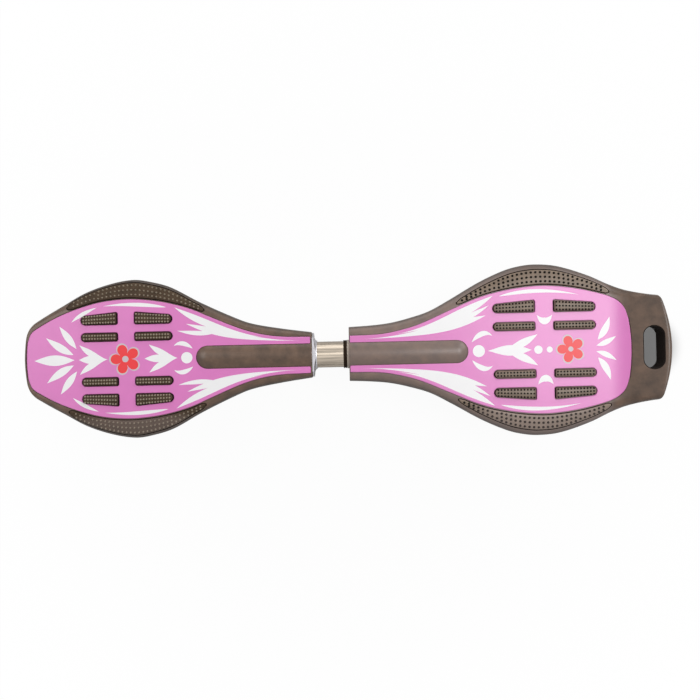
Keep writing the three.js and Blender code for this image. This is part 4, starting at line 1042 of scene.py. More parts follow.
def mat_block(deck, grow, low, high):
    """The carrier under the grip pads of one side, on the +Y side."""
    shares = (deck["pads"][0][0], deck["pads"][1][1])
    start, end = sorted(deck["waist"] + deck["way"] * share * deck["length"] for share in shares)
    near, far = narrow_near * deck["half"], wide_near * deck["half"] + wide_width
    lowest = (start - mat_border - grow, near - mat_border - grow, low)
    highest = (end + mat_border + grow, far + mat_border + grow, high)
    return block("mat", lowest, highest)


def mirror_y(piece):
    """The piece on the other side of the centre line, with its faces still outwards."""
    points = np.empty(len(piece.data.vertices) * 3)
    piece.data.vertices.foreach_get("co", points)
    points[1::3] *= -1
    piece.data.vertices.foreach_set("co", points)
    piece.data.flip_normals()
    return piece


def cut_seats(body, deck):
    """The shell, less the seats of its mats and strips, whose walls are shaded."""
    seats, pocket_floor = [], platform - mat_depth - clearance
    for side in (1, -1):
        pocket = combined(mat_block(deck, 0.4, pocket_floor, platform), [spine(deck)], "DIFFERENCE")
        seats.append(pocket if side > 0 else mirror_y(pocket))
        seats.append(strip_slab(deck, side, grow=1.2, sink=1.9, raise_by=2.5))
    # The seats' walls are painted dark as shade.
    return combined(body, [in_finish(shaded_groove, seat) for seat in seats], "DIFFERENCE")


print("seats: a mat and a strip on each side")

# %% [markdown]
# The holes go in last: the tube's bore from the waist, the kingpin's hole and its nut's pocket through the
# boss, the seat of the upper race, and the holes for the bolts that grip the tube's anchors. Each cutter
# sticks far out at its open end, so that it cuts clean through.

# %% Holes and deck shells
outside, bolt_hole_radius, bolt_hole_foot = 30, 3.3, -54
nut_pocket_radius, race_seat_radius, race_seat_depth = 11, 18.3, 2.9


def holes_of(deck):
    """The cutters for everything that a drill or a core pin would make."""
    pivot, axis = pivots[deck["name"]], (deck["waist"], 0, tube_height)
    holes = [rod("bore", deck["bore_radius"], -outside, deck["bore_depth"], axis, (deck["way"], 0, 0), 96)]
    pin_radius, pocket_foot = kingpin_radius + clearance, nut_foot - clearance
    holes.append(rod("kingpin_hole", pin_radius, -outside, boss_length, pivot, swivel_up, 32))
    pocket_top = boss_length + outside
    holes.append(rod("nut_pocket", nut_pocket_radius, pocket_foot, pocket_top, pivot, swivel_up, 48))
    holes.append(rod("race_seat", race_seat_radius, -outside, race_seat_depth, pivot, swivel_up, 96))
    for bolt in anchor_bolts(deck):
        place = (middle_x(bolt), 0, tube_height)
        holes.append(rod("bolt_hole", bolt_hole_radius, bolt_hole_foot, 0, place, (0, 0, 1), 24))
    return holes


def deck_shell(deck):
    """The whole moulding of one deck."""
    # The rear shell takes the copy of the plastic with the painted sheen and shade.
    plastic = deck_plastic if deck is front else rear_plastic_painted_light
    body = combined(in_finish(plastic, outer_body(deck)), [in_finish(plastic, cavity(deck))], "DIFFERENCE")
    combined(body, [in_finish(plastic, brace) for brace in boss_and_gussets(deck)], "UNION")
    panel_seat = panel_slab(deck, grow=1.2, below=1.6, above=beyond)
    # The panel seat's walls are painted dark as shade.
    combined(body, [in_finish(shaded_groove, panel_seat)], "DIFFERENCE")
    combined(body, [in_finish(plastic, spine(deck))], "UNION")
    if deck is rear:
        foot = platform - deck["tip_depth"]
        sleeve = plate("sleeve", slot_outline(deck, slot_wall), foot, platform + beyond, level_place)
        sleeve = combined(in_finish(plastic, sleeve), [in_finish(plastic, outer_body(deck))], "INTERSECT")
        combined(body, [sleeve], "UNION")
        # The handle slot's walls are painted dark as shade.
        combined(body, [in_finish(shaded_groove, slot_cutter(deck))], "DIFFERENCE")
    cut_seats(body, deck)
    combined(body, [in_finish(plastic, hole) for hole in holes_of(deck)], "DIFFERENCE")
    body.name = deck["name"] + "_shell_moulding"
    return finished(body, deck["body"], "deck_plastic", [deck["name"] + "_deck_shell"], plastic, 30)


for deck in (front, rear):
    moulding = deck_shell(deck)
    print(moulding.name, len(moulding.data.polygons), "faces")

# %% [markdown]
# The foot panel is a thin plate with slots for the pads, and the print is part of its surface. Drawing the
# print as geometry keeps its edges sharp at any distance: the outline, the slots and every printed shape go
# into one triangulation, and each triangle takes the colour of the last shape that holds its middle. The
# print is a generic one of leaves, discs and a five-petalled flower.

# %% Printed shapes
def leaf(start, bend, end, width, fullest=0.45):
    """A leaf along the quadratic curve start, bend, end. With t from 0 to 1 along it, its width is
    width sin(pi t^p), where p puts its widest place at t = fullest."""
    t = np.linspace(0, 1, 33)[:, None]
    start, bend, end = (np.array(point, float) for point in (start, bend, end))
    middle = (1 - t) ** 2 * start + 2 * t * (1 - t) * bend + t * t * end
    along = (1 - t) * (bend - start) + t * (end - bend)
    left = np.column_stack([-along[:, 1], along[:, 0]]) / np.linalg.norm(along, axis=1, keepdims=True)
    swell = width / 2 * np.sin(np.pi * t ** (math.log(0.5) / math.log(fullest)))
    return np.vstack([middle + left * swell, (middle - left * swell)[-2:0:-1]])


def disc(centre, radius, points=40):
    """A circle's outline."""
    a = np.linspace(0, 2 * np.pi, points, endpoint=False)
    return np.array(centre, float) + radius * np.column_stack([np.cos(a), np.sin(a)])


def flower(centre, radius, grow=0.0, petals=5, turn=0.0):
    """Petals round a centre: the radius is r (0.42 + 0.58 |cos(n a / 2)|^0.6), and grow more."""
    a = np.linspace(0, 2 * np.pi, 120, endpoint=False)
    r = radius * (0.42 + 0.58 * np.abs(np.cos(petals * a / 2)) ** 0.6) + grow
    return np.array(centre, float) + r[:, None] * np.column_stack([np.cos(a + turn), np.sin(a + turn)])


def mirrored(shapes):
    """The shapes and their mirror images across the centre line."""
    return shapes + [shape * (1, -1) for shape in shapes]


print("points round a flower:", len(flower((0, 0), 1)))

# %% [markdown]
# Each deck's print is a list of such shapes, in mm along the deck from its waist and to its side. Most come
# in mirrored pairs. A later shape lies over an earlier one, which is how a flower gets its outline.

# %% Prints
PINK, WHITE, RED, GREY = 0, 1, 2, 3
print_front = [(WHITE, shape) for shape in mirrored([
    leaf((14, 19.4), (90, 20), (166, 45), 9, 0.7),
    leaf((62, 24.5), (128, 34), (181, 67), 9, 0.66),
    leaf((122, 33), (150, 30), (178, 36), 6, 0.5),
    leaf((192, 67.5), (236, 75), (276, 70.5), 5, 0.4),
    leaf((158, 12), (172, 24), (183, 16), 6, 0.45),
    leaf((178, 0), (196, 3), (216, 18.5), 8, 0.6),
    leaf((271, 0), (290, 3), (308, 19.5), 8, 0.6),
    leaf((316, 7), (332, 14), (352, 30), 10, 0.5),
    leaf((312, 15), (322, 28), (334, 45), 9, 0.5),
    leaf((318, 50), (306, 61), (284, 69), 5, 0.5),
])]
print_front += [(WHITE, shape) for shape in [
    disc((166, 0), 7.5), leaf((178, 0), (200, 0), (222, 0), 10, 0.6),
    leaf((271, 0), (290, 0), (309, 0), 11, 0.55), leaf((315, 0), (340, 0), (368, 0), 14, 0.5),
]]
print_front += [(GREY, flower((247.5, 0), 19.5, 2.2)), (RED, flower((247.5, 0), 19.5))]
print_front += [(GREY, disc((247.5, 0), 4.2))]
print_rear = [(WHITE, shape) for shape in mirrored([
    leaf((14, 19.4), (95, 20), (182, 47), 11, 0.72),
    leaf((60, 24.5), (128, 34), (192, 73), 11, 0.68),
    leaf((112, 31), (150, 38), (186, 60), 7, 0.6),
    leaf((163, 12), (178, 30), (190, 20), 7, 0.45),
    leaf((200, 72), (250, 84), (306, 72), 5, 0.4),
    leaf((250, 46), (260, 30), (270, 46), 9, 0.5),
    leaf((204, 0), (224, 4), (250, 20.5), 10, 0.6),
    leaf((330, 12), (342, 24), (346, 42), 9, 0.45),
    leaf((328, 4), (340, 6), (354, 16), 7, 0.5),
])]
print_rear += [(WHITE, shape) for shape in [
    disc((172, 0), 8), leaf((184, 0), (210, 0), (242, 0), 14, 0.55), disc((251, 0), 5.5), disc((266, 0), 4),
]]
print_rear += [(GREY, flower((294, 0), 18, 2.0, turn=math.pi)), (RED, flower((294, 0), 18, turn=math.pi))]
print_rear += [(GREY, disc((294, 0), 3.4))]
print("printed shapes:", len(print_front), "in front,", len(print_rear), "at the rear")

# %% [markdown]
# Each pad is square where it faces the other row and half round at its far end, and the wide pads taper.
# The same outline, grown by the gap, is the slot in the panel.

# %% Pad outlines
pad_corner = 2.4


def pad_outline(gap, end, near, gap_width, end_width, grow):
    """An anticlockwise outline from the gap end to the round end. The arc is r (cos a, sin a) about the
    middle of the end, and the two corners at the gap are rounded by pad_corner."""
    way, radius = math.copysign(1, end - gap), end_width / 2
    a = np.linspace(-np.pi / 2, np.pi / 2, 21)
    along = end - way * radius + way * (radius + grow) * np.cos(a)
    arc = np.column_stack([along, near + radius + (radius + grow) * np.sin(a)])
    corners = [(gap - way * grow, near + gap_width + grow), (gap - way * grow, near - grow)]
    near_end = rounded([arc[-1], *corners, arc[0]], pad_corner + grow, steps=5, closed=False)
    outline = np.vstack([arc[1:-1], near_end])
    return outline if way > 0 else outline[::-1]


def pad_rows(deck):
    """The four pads on the +Y side: gap end, far end, near edge, and the widths at both ends."""
    (low, low_gap), (high_gap, high) = [
        [deck["waist"] + deck["way"] * share * deck["length"] for share in row] for row in deck["pads"]]
    narrow, wide = narrow_near * deck["half"], wide_near * deck["half"]
    rows = []
    for gap, end in ((low_gap, low), (high_gap, high)):
        rows.append((gap, end, narrow, narrow_width, narrow_width))
        rows.append((gap, end, wide, wide_width, wide_end_width))
    return rows


print("pads on a side:", len(pad_rows(front)))

# %% [markdown]
# The panel's plan is worked out flat. It has the panel's own outline, the slots with a second line round
# each, and rows of points across the kick, so that the panel can bend there evenly.

# %% Panel plans
slot_gap, groove_width, panel_break, panel_drop = 0.8, 0.6, 0.7, 0.4


def inside(outline, points):
    """Which points an outline holds: those whose ray along X crosses it an odd number of times."""
    x, y = points[:, 0][:, None], points[:, 1][:, None]
    x0, y0 = outline[:, 0], outline[:, 1]
    x1, y1 = np.roll(x0, -1), np.roll(y0, -1)
    spans = (y0 > y) != (y1 > y)
    with np.errstate(divide="ignore", invalid="ignore"):
        crossing = x0 + (y - y0) / (y1 - y0) * (x1 - x0)
    return (spans & (x < crossing)).sum(1) % 2 == 1


def anticlockwise(outline):
    """The outline, reversed if its area, half the sum of x0 y1 - x1 y0, comes out negative."""
    after = np.roll(outline, -1, 0)
    area = (outline[:, 0] * after[:, 1] - after[:, 0] * outline[:, 1]).sum() / 2
    return outline if area > 0 else outline[::-1]


def panel_outline(deck):
    """The panel's plan, in mm along the deck and to its side. Its tip lies at end - bulge k k, with k from
    1 to -1 across it."""
    end = deck["panel_end"] * deck["length"]
    u = np.concatenate([np.arange(deck["panel_start"], end - 20, 3.0), np.linspace(end - 20, end, 25)])
    y = panel_half(deck, u)
    side = np.column_stack([u - bow(deck, u, deck["panel_bulge"], deck["panel_end"]), y])
    across = np.linspace(1, -1, 31)[1:-1]
    tip = np.column_stack([end - deck["panel_bulge"] * across ** 2, y[-1] * across])
    return np.vstack([side, tip, side[::-1] * (1, -1)])


def panel_slots(deck):
    """Each slot's outline, followed by a line round it."""
    slots = []
    for side in (1, -1):
        for row in pad_rows(deck):
            for grow in (slot_gap, slot_gap + groove_width):
                slots.append(pad_outline(*row, grow) * (1, side))
    return slots


def kick_lines(deck):
    """Rows of points across the panel where the kick bends and beside that. Without a kick, none."""
    if not deck["kick_length"]:
        return []
    start = deck["length"] - deck["kick_length"]
    finish = start + kick_radius * math.sin(kick_angle)
    bend = np.linspace(start, finish, 17)
    lines = []
    for u in np.concatenate([[start - 3, start - 1], bend, [finish + 1, finish + 3]]):
        y = np.linspace(-1, 1, 31) * (panel_half(deck, u) + 5)
        lines.append(np.column_stack([np.full(31, deck["waist"] + u), y]))
    return lines


print("points round the panels:", len(panel_outline(front)), "and", len(panel_outline(rear)))

# %% [markdown]
# `delaunay_2d_cdt` then triangulates the plan with every outline kept as an edge. The triangles become the
# panel's two faces, and the sides that only one triangle has become its walls. The points on those sides
# are lowered a little, which breaks the panel's edges.

# %% Foot panels
def triangulated(loops, lines):
    """Points and triangles of a plan that keeps every loop and line."""
    edges, first = [], 0
    for loop in loops:
        edges += [(first + i, first + (i + 1) % len(loop)) for i in range(len(loop))]
        first += len(loop)
    for line in lines:
        edges += [(first + i, first + i + 1) for i in range(len(line) - 1)]
        first += len(line)
    plan = [Vector(point) for point in np.vstack(loops + lines).tolist()]
    points, _, triangles, *_ = delaunay_2d_cdt(plan, edges, [], 0, 1e-4)
    return np.array([tuple(point) for point in points]), np.array(triangles)


def border_of(triangles):
    """The sides that only one triangle has."""
    sides = np.sort(np.concatenate([triangles[:, [0, 1]], triangles[:, [1, 2]], triangles[:, [2, 0]]]), 1)
    pairs, uses = np.unique(sides, axis=0, return_counts=True)
    return pairs[uses == 1]


def foot_panel(deck, prints):
    """The plate with its slots and print, standing panel_proud above the deck."""
    def to_plan(shape):
        return shape * (deck["way"], 1) + (deck["waist"], 0)

    outline, slots = anticlockwise(to_plan(panel_outline(deck))), panel_slots(deck)
    shapes = [(colour, to_plan(shape)) for colour, shape in prints]
    loops = [outline, offset(outline, panel_break)] + slots + [shape for _, shape in shapes]
    points, triangles = triangulated(loops, kick_lines(deck))
    middles = points[triangles].mean(1)
    kept = inside(outline, middles)
    for slot in slots[::2]:
        kept &= ~inside(slot, middles)
    triangles, middles = triangles[kept], middles[kept]
    colours = np.full(len(triangles), PINK)
    for colour, shape in shapes:
        colours[inside(shape, middles)] = colour
    border = border_of(triangles)
    lowered = np.zeros(len(points))
    lowered[border] = panel_drop
    height = top(deck, (points[:, 0] - deck["waist"]) * deck["way"]) + panel_proud
    upper = np.column_stack([points, height - lowered])
    lower = np.column_stack([points, height - panel_thickness])
    count = len(points)
    faces = triangles.tolist() + (triangles[:, ::-1] + count).tolist()
    faces += [(a, b, b + count, a + count) for a, b in border.tolist()]
    index = np.concatenate([colours, np.zeros(len(triangles) + len(border), int)])
    panel = raw_mesh(deck["name"] + "_foot_panel", np.vstack([upper, lower]), faces, index)
    for finish in (panel_pink, print_white, print_red, print_grey):
        panel.data.materials.append(finish)
    return panel


for deck, prints in ((front, print_front), (rear, print_rear)):
    # The groove round the spine is painted dark as shade.
    spine_slot = in_finish(shaded_groove, spine(deck, grow=0.7, overrun=1.0))
    panel = combined(foot_panel(deck, prints), [spine_slot], "DIFFERENCE")
    finished(panel, deck["body"], "panel_plastic", [deck["name"] + "_deck_panel"], panel_pink, 25)
    shown = np.unique([face.material_index for face in panel.data.polygons])
    print(panel.name, len(panel.data.polygons), "faces in", len(shown), "colours")

# %% [markdown]
# Small studs stand on the pads and strips for grip. Each is a blunt cone with eight sides. Hundreds of them
# are placed with one array sum: every stud's points are its base point plus multiples of its axis and of
# two directions square to that.

# %% Studs
stud_sides, stud_height, pad_stud_radius = 8, 1.7, 1.35


def studs(name, bases, axes, radius, height):
    """Blunt cones on base points. Their rings lie r from the axis and h along it: (r, -0.15 h),
    (0.82 r, 0.7 h) and (0.5 r, h), with a middle point at the top."""
    bases, axes = np.asarray(bases, float), np.asarray(axes, float)
    axes = axes / np.linalg.norm(axes, axis=1, keepdims=True)
    side = np.cross(axes, (1.0, 0.0, 0.0))
    side /= np.linalg.norm(side, axis=1, keepdims=True)
    other = np.cross(axes, side)
    profile = np.array([(1.0, -0.15), (0.82, 0.7), (0.5, 1.0), (0.0, 1.0)]) * (radius, height)
    a = np.linspace(0, 2 * np.pi, stud_sides, endpoint=False)
    r, h = profile[:, 0][None, :, None, None], profile[:, 1][None, :, None, None]
    cos, sin = np.cos(a)[None, None, :, None], np.sin(a)[None, None, :, None]
    bases, axes, side, other = (array[:, None, None] for array in (bases, axes, side, other))
    points = bases + h * axes + r * (cos * side + sin * other)
    foot = [[0, 1, 2, 3], [0, 3, 4, 7], [4, 5, 6, 7]]
    one = np.array(grid_faces(len(profile), stud_sides, False, True) + foot)
    starts = np.arange(len(bases))[:, None, None] * len(profile) * stud_sides
    faces = (one[None] + starts).reshape(-1, 4)
    return raw_mesh(name, points.reshape(-1, 3), faces.tolist(), np.ones(len(faces)))


print("a stud has", stud_sides, "sides and is", stud_height, "mm high")

# %% [markdown]
# A grip mat is a thin carrier under the panel with four pads that come up through the slots. The narrow
# pads carry two rows of twelve studs and the wide ones three.

# %% Grip mats
pad_rise, carrier_thickness, pad_round, studs_along = 3.0, 1.5, 1.6, 12
first_stud, last_stud, rows_closer = 3.2, 4.4, 0.12
side_label = {1: "left", -1: "right"}


def pad_stud_places(row, height):
    """Base points of one pad's studs. Two rows stand rows_closer of a row's width further in."""
    gap, end, near, gap_width, end_width = row
    way, rows = math.copysign(1, end - gap), 2 if gap_width == narrow_width else 3
    closer = rows_closer if rows == 2 else 0
    along = np.linspace(gap + way * first_stud, end - way * last_stud, studs_along)
    taper = (along - gap) / (end - gap)
    width = gap_width + (end_width - gap_width) * taper
    places = []
    for line in range(rows):
        across = near + width * (line + 0.5 + closer * (1 - 2 * line)) / rows
        places.append(np.column_stack([along, across, np.full(studs_along, height)]))
    return np.vstack(places)


def grip_mat(deck, side):
    """Carrier, pads and studs of one side of a deck. The pads' walls are shaded."""
    foot, crown = platform - mat_depth, platform + panel_proud + pad_rise
    parts, bases = [mat_block(deck, 0, foot, foot + carrier_thickness)], []
    for row in pad_rows(deck):
        outline = pad_outline(*row, grow=0)
        pad = plate("pad", outline, foot, crown, level_place, round_high=pad_round, draft=0.8)
        heights = np.array([face.center.z for face in pad.data.polygons]) / METRE
        # The pads' side walls are painted dark as shade.
        index = np.where((heights > foot + 0.1) & (heights < crown - pad_round), 2, 0)
        pad.data.polygons.foreach_set("material_index", index.astype(np.int32))
        parts.append(pad)
        bases.append(pad_stud_places(row, crown))
    bases = np.vstack(bases)
    axes = np.tile((0.0, 0.0, 1.0), (len(bases), 1))
    parts.append(studs("pad_studs", bases, axes, pad_stud_radius, stud_height))
    mat = joined(f"{deck['name']}_pads_{side_label[side]}", parts)
    return mat if side > 0 else mirror_y(mat)


print("studs on a side's pads:", sum(len(pad_stud_places(row, 0)) for row in pad_rows(front)))

# %% [markdown]
# A rail strip is a lens on the rounded rim, with studs that stand square to the rim. Their rows thin out
# towards the strip's ends. The rubber, its studs and the shaded walls of the pads have a finish each.

# %% Rail strips
three_rows, two_rows, outer_share, inner_share = 7.2, 3.4, 0.62, 0.45
stud_foot, stud_aim = 0.85, 2.0


def stud_rows(deck):
    """Places along a strip and shares of its half width: three rows where it is wide, then two and one."""
    start, end = (share * deck["length"] for share in deck["strip"])
    u = np.arange(start + 7, end - 5, deck["stud_pitch"])
    reach = strip_reach(deck, u)[1]
    rows = [(u[reach > three_rows], share) for share in (-outer_share, 0.0, outer_share)]
    medium = u[(reach > two_rows) & (reach <= three_rows)]
    rows += [(medium, share) for share in (-inner_share, inner_share)]
    return rows + [(u[reach <= two_rows], 0.0)]


def rail_strip(deck, side):
    """A strip with its studs."""
    body = strip_slab(deck, side, grow=0, sink=1.6, raise_by=0.9, edge_round=1.2)
    bases, crowns = [], []
    for places, share in stud_rows(deck):
        centre, reach = strip_reach(deck, places)
        y = centre + share * reach
        bases.append(deck_points(deck, *rim_points(deck, places, y, stud_foot)))
        crowns.append(deck_points(deck, *rim_points(deck, places, y, stud_aim)))
    bases, crowns = np.vstack(bases) * (1, side, 1), np.vstack(crowns) * (1, side, 1)
    dots = studs("strip_studs", bases, crowns - bases, deck["stud_radius"], stud_height)
    return joined(f"{deck['name']}_strip_{side_label[side]}", [body, dots])


# At the front the rubber is painted dark as shade and its studs pale as highlights; the rear studs are painted
# black as shade.
rubbers = {"front": (front_rubber_painted_shade, studs_painted_highlight, strip_studs_painted_highlight), "rear": (grip_rubber, studs_painted_shade, studs_painted_shade)}
for deck in (front, rear):
    rubber, pad_tips, strip_tips = rubbers[deck["name"]]
    for side, label in side_label.items():
        mat, strip = grip_mat(deck, side), rail_strip(deck, side)
        for piece, tips, node in ((mat, pad_tips, "grip_mat"), (strip, strip_tips, "rail_strip")):
            for finish in (rubber, tips, shaded_groove):
                piece.data.materials.append(finish)
            finished(piece, deck["body"], "grip_rubber", [f"{deck['name']}_{node}_{label}"], rubber, 40)
            print(piece.name, len(piece.data.polygons), "faces")

# %% [markdown]
# The tube is drawn steel with its ends broken, drilled from below for the clamp and anchor bolts. Its
# collar is a plate on the front deck's waist that sweeps down to the tube. It is turned, then cut flat
# where it would stand above the panel.

# %% Torsion tube and collar
along_x = (1.0, 0.0, 0.0)
tube_axis = (0.0, 0.0, tube_height)
tube_radius, tube_bore, slide_radius = 17.5, 15.5, 17.8
collar_radius, neck_radius, collar_plate = 29.5, 19.0, 2


def ring_profile(inner, outer, low, high, edge_round=0.4):
    """A rectangle of radii and heights with its corners rounded."""
    return rounded([(inner, low), (outer, low), (outer, high), (inner, high)], edge_round)


tube_low, tube_high = edge("torsion_tube", 0, 0), edge("torsion_tube", 1, 0)
profile = ring_profile(tube_bore, tube_radius, tube_low, tube_high)
tube = turned("drawn_tube", profile, tube_axis, along_x, 128)
places = [(middle_x(bolt), 0, tube_height) for bolt in anchor_bolts(front)]
holes = [rod("hole", bolt_hole_radius, -outside, 0, place, (0, 0, 1), 24) for place in places]
finished(combined(tube, holes, "DIFFERENCE"), "front_deck", "tube_steel", ["torsion_tube"])

collar_low, collar_high = edge("tube_collar", 0, 0), edge("tube_collar", 1, 0)
sweep_start = collar_low + collar_plate
a = np.linspace(0, np.pi / 2, 17)
radii = collar_radius - (collar_radius - neck_radius) * np.sin(a)
sweep = np.column_stack([radii, sweep_start + (collar_high - sweep_start) * (1 - np.cos(a))])
corners = [(slide_radius, collar_low), (collar_radius, collar_low), (collar_radius, sweep_start)]
profile = np.vstack([rounded(corners, 0.3, closed=False)[:-1], sweep, (slide_radius, collar_high)])
collar = turned("waist_collar", profile, tube_axis, along_x, 128)
trim = block("trim", (collar_low - 5, -40, tube_height - 24), (collar_high + 5, 40, platform + panel_proud))
finished(combined(collar, [trim], "INTERSECT"), "front_deck", "cast_aluminium", ["tube_collar"])
print("tube", round(tube_high - tube_low), "mm long")

# %% [markdown]
# At the rear waist a rubber seal rides on the tube next to the pale end of a nylon bush. The seal has two
# soft lips with a groove between them, and each bush is a plain sleeve.

# %% Seal and bushes
lip_radius, groove_radius, bush_radius = 18.9, 18.3, 19.3
seal_low, seal_high = edge("tube_seal_ring", 0, 0), edge("tube_seal_ring", 1, 0)
middle = (seal_low + seal_high) / 2
half = [
    (slide_radius, seal_low), (lip_radius - 0.2, seal_low), (lip_radius, seal_low + 0.8),
    (lip_radius, middle - 0.7), (groove_radius, middle - 0.3),
]
lips = rounded(half + [(radius, 2 * middle - x) for radius, x in half[::-1]], 0.3)
seal = turned("seal_lips", lips, tube_axis, along_x, 128)
finished(seal, "front_deck", "seal_rubber", ["tube_seal_ring"])
for end in ("outer", "inner"):
    node = "rear_bush_" + end
    profile = ring_profile(slide_radius, bush_radius, edge(node, 0, 0), edge(node, 1, 0))
    sleeve = turned(end + "_bush_sleeve", profile, tube_axis, along_x, 96)
    finished(sleeve, "rear_deck", "bush_nylon", [node])
print("seal:", round(seal_high - seal_low, 1), "mm long")

# %% [markdown]
# The bolts that hold the tube show from below. They have domed heads with a six-sided socket, the kind that
# is used where a shoe or a hand may brush past.

# %% Anchor bolts
dome_radius, button_radius, button_height, shank_radius = 3.4, 5.6, 4, 3.0
socket_radius, socket_depth, head_level = 2.3, 2.2, -24.3


def hex_radius(circumradius, a):
    """Distance to a hexagon's edge in direction a: apothem / cos b, with b the angle from a flat."""
    apothem = circumradius * math.cos(math.pi / 6)
    return apothem / np.cos((a + math.pi / 6) % (math.pi / 3) - math.pi / 6)


def button_bolt(name, x, head_top, tip):
    """A bolt that points up: shank, domed head and hexagonal socket."""
    low = head_top - button_height
    a = np.linspace(0, np.pi / 2, 13)
    radii = dome_radius + (button_radius - dome_radius) * np.sin(a)
    dome = np.column_stack([radii, low + 0.8 * button_height * (1 - np.cos(a))])
    shank = [(shank_radius, head_top), (shank_radius, tip - 0.6), (shank_radius - 0.6, tip), (0, tip)]
    profile = np.vstack([(0, low), dome, (button_radius, head_top), shank])
    bolt = turned(name, profile, (x, 0, tube_height), (0, 0, 1), 64, False)
    ring = np.linspace(0, 2 * np.pi, 48, endpoint=False)
    around = np.column_stack([np.cos(ring), np.sin(ring)])
    outline = hex_radius(socket_radius, ring)[:, None] * around + (x, 0)
    foot = tube_height + low
    socket = plate("socket", outline, foot - 4, foot + socket_depth, level_place)
    return combined(bolt, [socket], "DIFFERENCE")


for deck in (front, rear):
    for node in anchor_bolts(deck):
        tip = edge(node, 1, 2) - tube_height
        bolt = button_bolt(node.replace("bolt", "button_bolt"), middle_x(node), head_level, tip)
        finished(bolt, deck["body"], "bolt_steel", [node])
        print(bolt.name, round(tip - head_level, 1), "mm under its head")

# %% [markdown]
# The spring of the board is a steel bar inside the tube. Each end is square and sits in a plug, and the
# round length between them twists when the decks do. Its sections stand 2 mm apart.

# %% Torsion bar
bar_round, square_half, square_corner, square_fade, bar_sides = 6, 5.5, 7.2, 4, 64


def bar_radius(x, a, low, high):
    """Distance from the axis in direction a: r = s + (round - s) k k (3 - 2 k), with s the smaller of the
    square's half / max(|cos a|, |sin a|) and its broken corner, and k from 0 to 1 over square_fade about
    each square end."""
    square = np.minimum(square_half / np.maximum(np.abs(np.cos(a)), np.abs(np.sin(a))), square_corner)
    k = np.clip(np.minimum(x - low, high - x) / square_fade + 0.5, 0, 1)
    return square + (bar_round - square) * k * k * (3 - 2 * k)


bar_low, bar_high = edge("torsion_bar", 0, 0), edge("torsion_bar", 1, 0)
plug_high, plug_low = edge("front_anchor_plug", 1, 0), edge("rear_anchor_plug", 0, 0)
between = np.arange(bar_low + 0.5, bar_high - 1, 2.0)
x = np.concatenate([[bar_low], between, [bar_high - 0.5, bar_high]])[:, None]
a = np.linspace(0, 2 * np.pi, bar_sides, endpoint=False)[None, :]
reach = bar_radius(x, a, plug_high, plug_low)
reach[[0, -1]] -= 0.5
points = np.stack([x + 0 * a, reach * np.cos(a), tube_height + reach * np.sin(a)], -1).reshape(-1, 3)
bar = raw_mesh("spring_bar", points, tube_faces(len(x), bar_sides))
places = [(middle_x(node), 0, tube_height) for node in ("front_anchor_bolt", "rear_anchor_bolt")]
pin_holes = [rod("pin_hole", bolt_hole_radius, -outside, -0.2, place, (0, 0, 1), 24) for place in places]
combined(bar, pin_holes, "DIFFERENCE")
smooth(bar)
bar.data.materials.clear()
bar.data.materials.append(bolt_steel)
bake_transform(bar)
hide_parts("torsion_bar")
print("torsion bar", round(bar_high - bar_low), "mm long")

# %% [markdown]
# Hexagon heads and nuts are turned after they are forged, so their corners run out in curves. That comes
# from taking, at every height, the smaller of the hexagon's radius and a cone's.

# %% Hexagon heads and nuts
hex_count, bore_break = 96, 0.4


def hexagon(name, circumradius, low, high, centre, direction, bore=0.0, broken=(True, True)):
    """A hexagon prism along an axis: r = min(hexagon, 0.95 apothem + 1.9 d), with d the distance from a
    broken face, and a round bore or none."""
    a = np.linspace(0, 2 * np.pi, hex_count, endpoint=False)
    apothem = circumradius * math.cos(math.pi / 6)
    d = np.array([0, 0.15, 0.3, 0.5, 0.75, 1.1])
    heights = np.concatenate([low + d, high - d[::-1]])
    reach = np.full((len(heights), hex_count), np.inf)
    if broken[0]:
        reach = np.minimum(reach, 0.95 * apothem + 1.9 * (heights - low)[:, None])
    if broken[1]:
        reach = np.minimum(reach, 0.95 * apothem + 1.9 * (high - heights)[:, None])
    radius = np.minimum(hex_radius(circumradius, a), reach)
    if bore:
        bored, eased = np.full(hex_count, bore), np.full(hex_count, bore + bore_break)
        walls = np.vstack([radius, eased, bored, bored, eased])
        levels = np.concatenate([heights, [high, high - bore_break, low + bore_break, low]])
    else:
        walls = np.vstack([np.zeros(hex_count), radius, np.zeros(hex_count)])
        levels = np.concatenate([[low], heights, [high]])
    u, v = axes_for(direction)
    spread = walls[..., None] * (np.cos(a)[:, None] * u + np.sin(a)[:, None] * v)
    points = np.asarray(centre) + levels[:, None, None] * np.asarray(direction, float) + spread
    return raw_mesh(name, points.reshape(-1, 3), grid_faces(len(levels), hex_count, bool(bore), True))


print("a hexagon's corner is", round(1 / math.cos(math.pi / 6), 3), "times its apothem")

# %% [markdown]
# The kingpin is pushed up through the fork's crown, both races and the boss, and its nut sits in a pocket
# of the boss. A rubber seal with two lips covers the balls and turns with the fork.

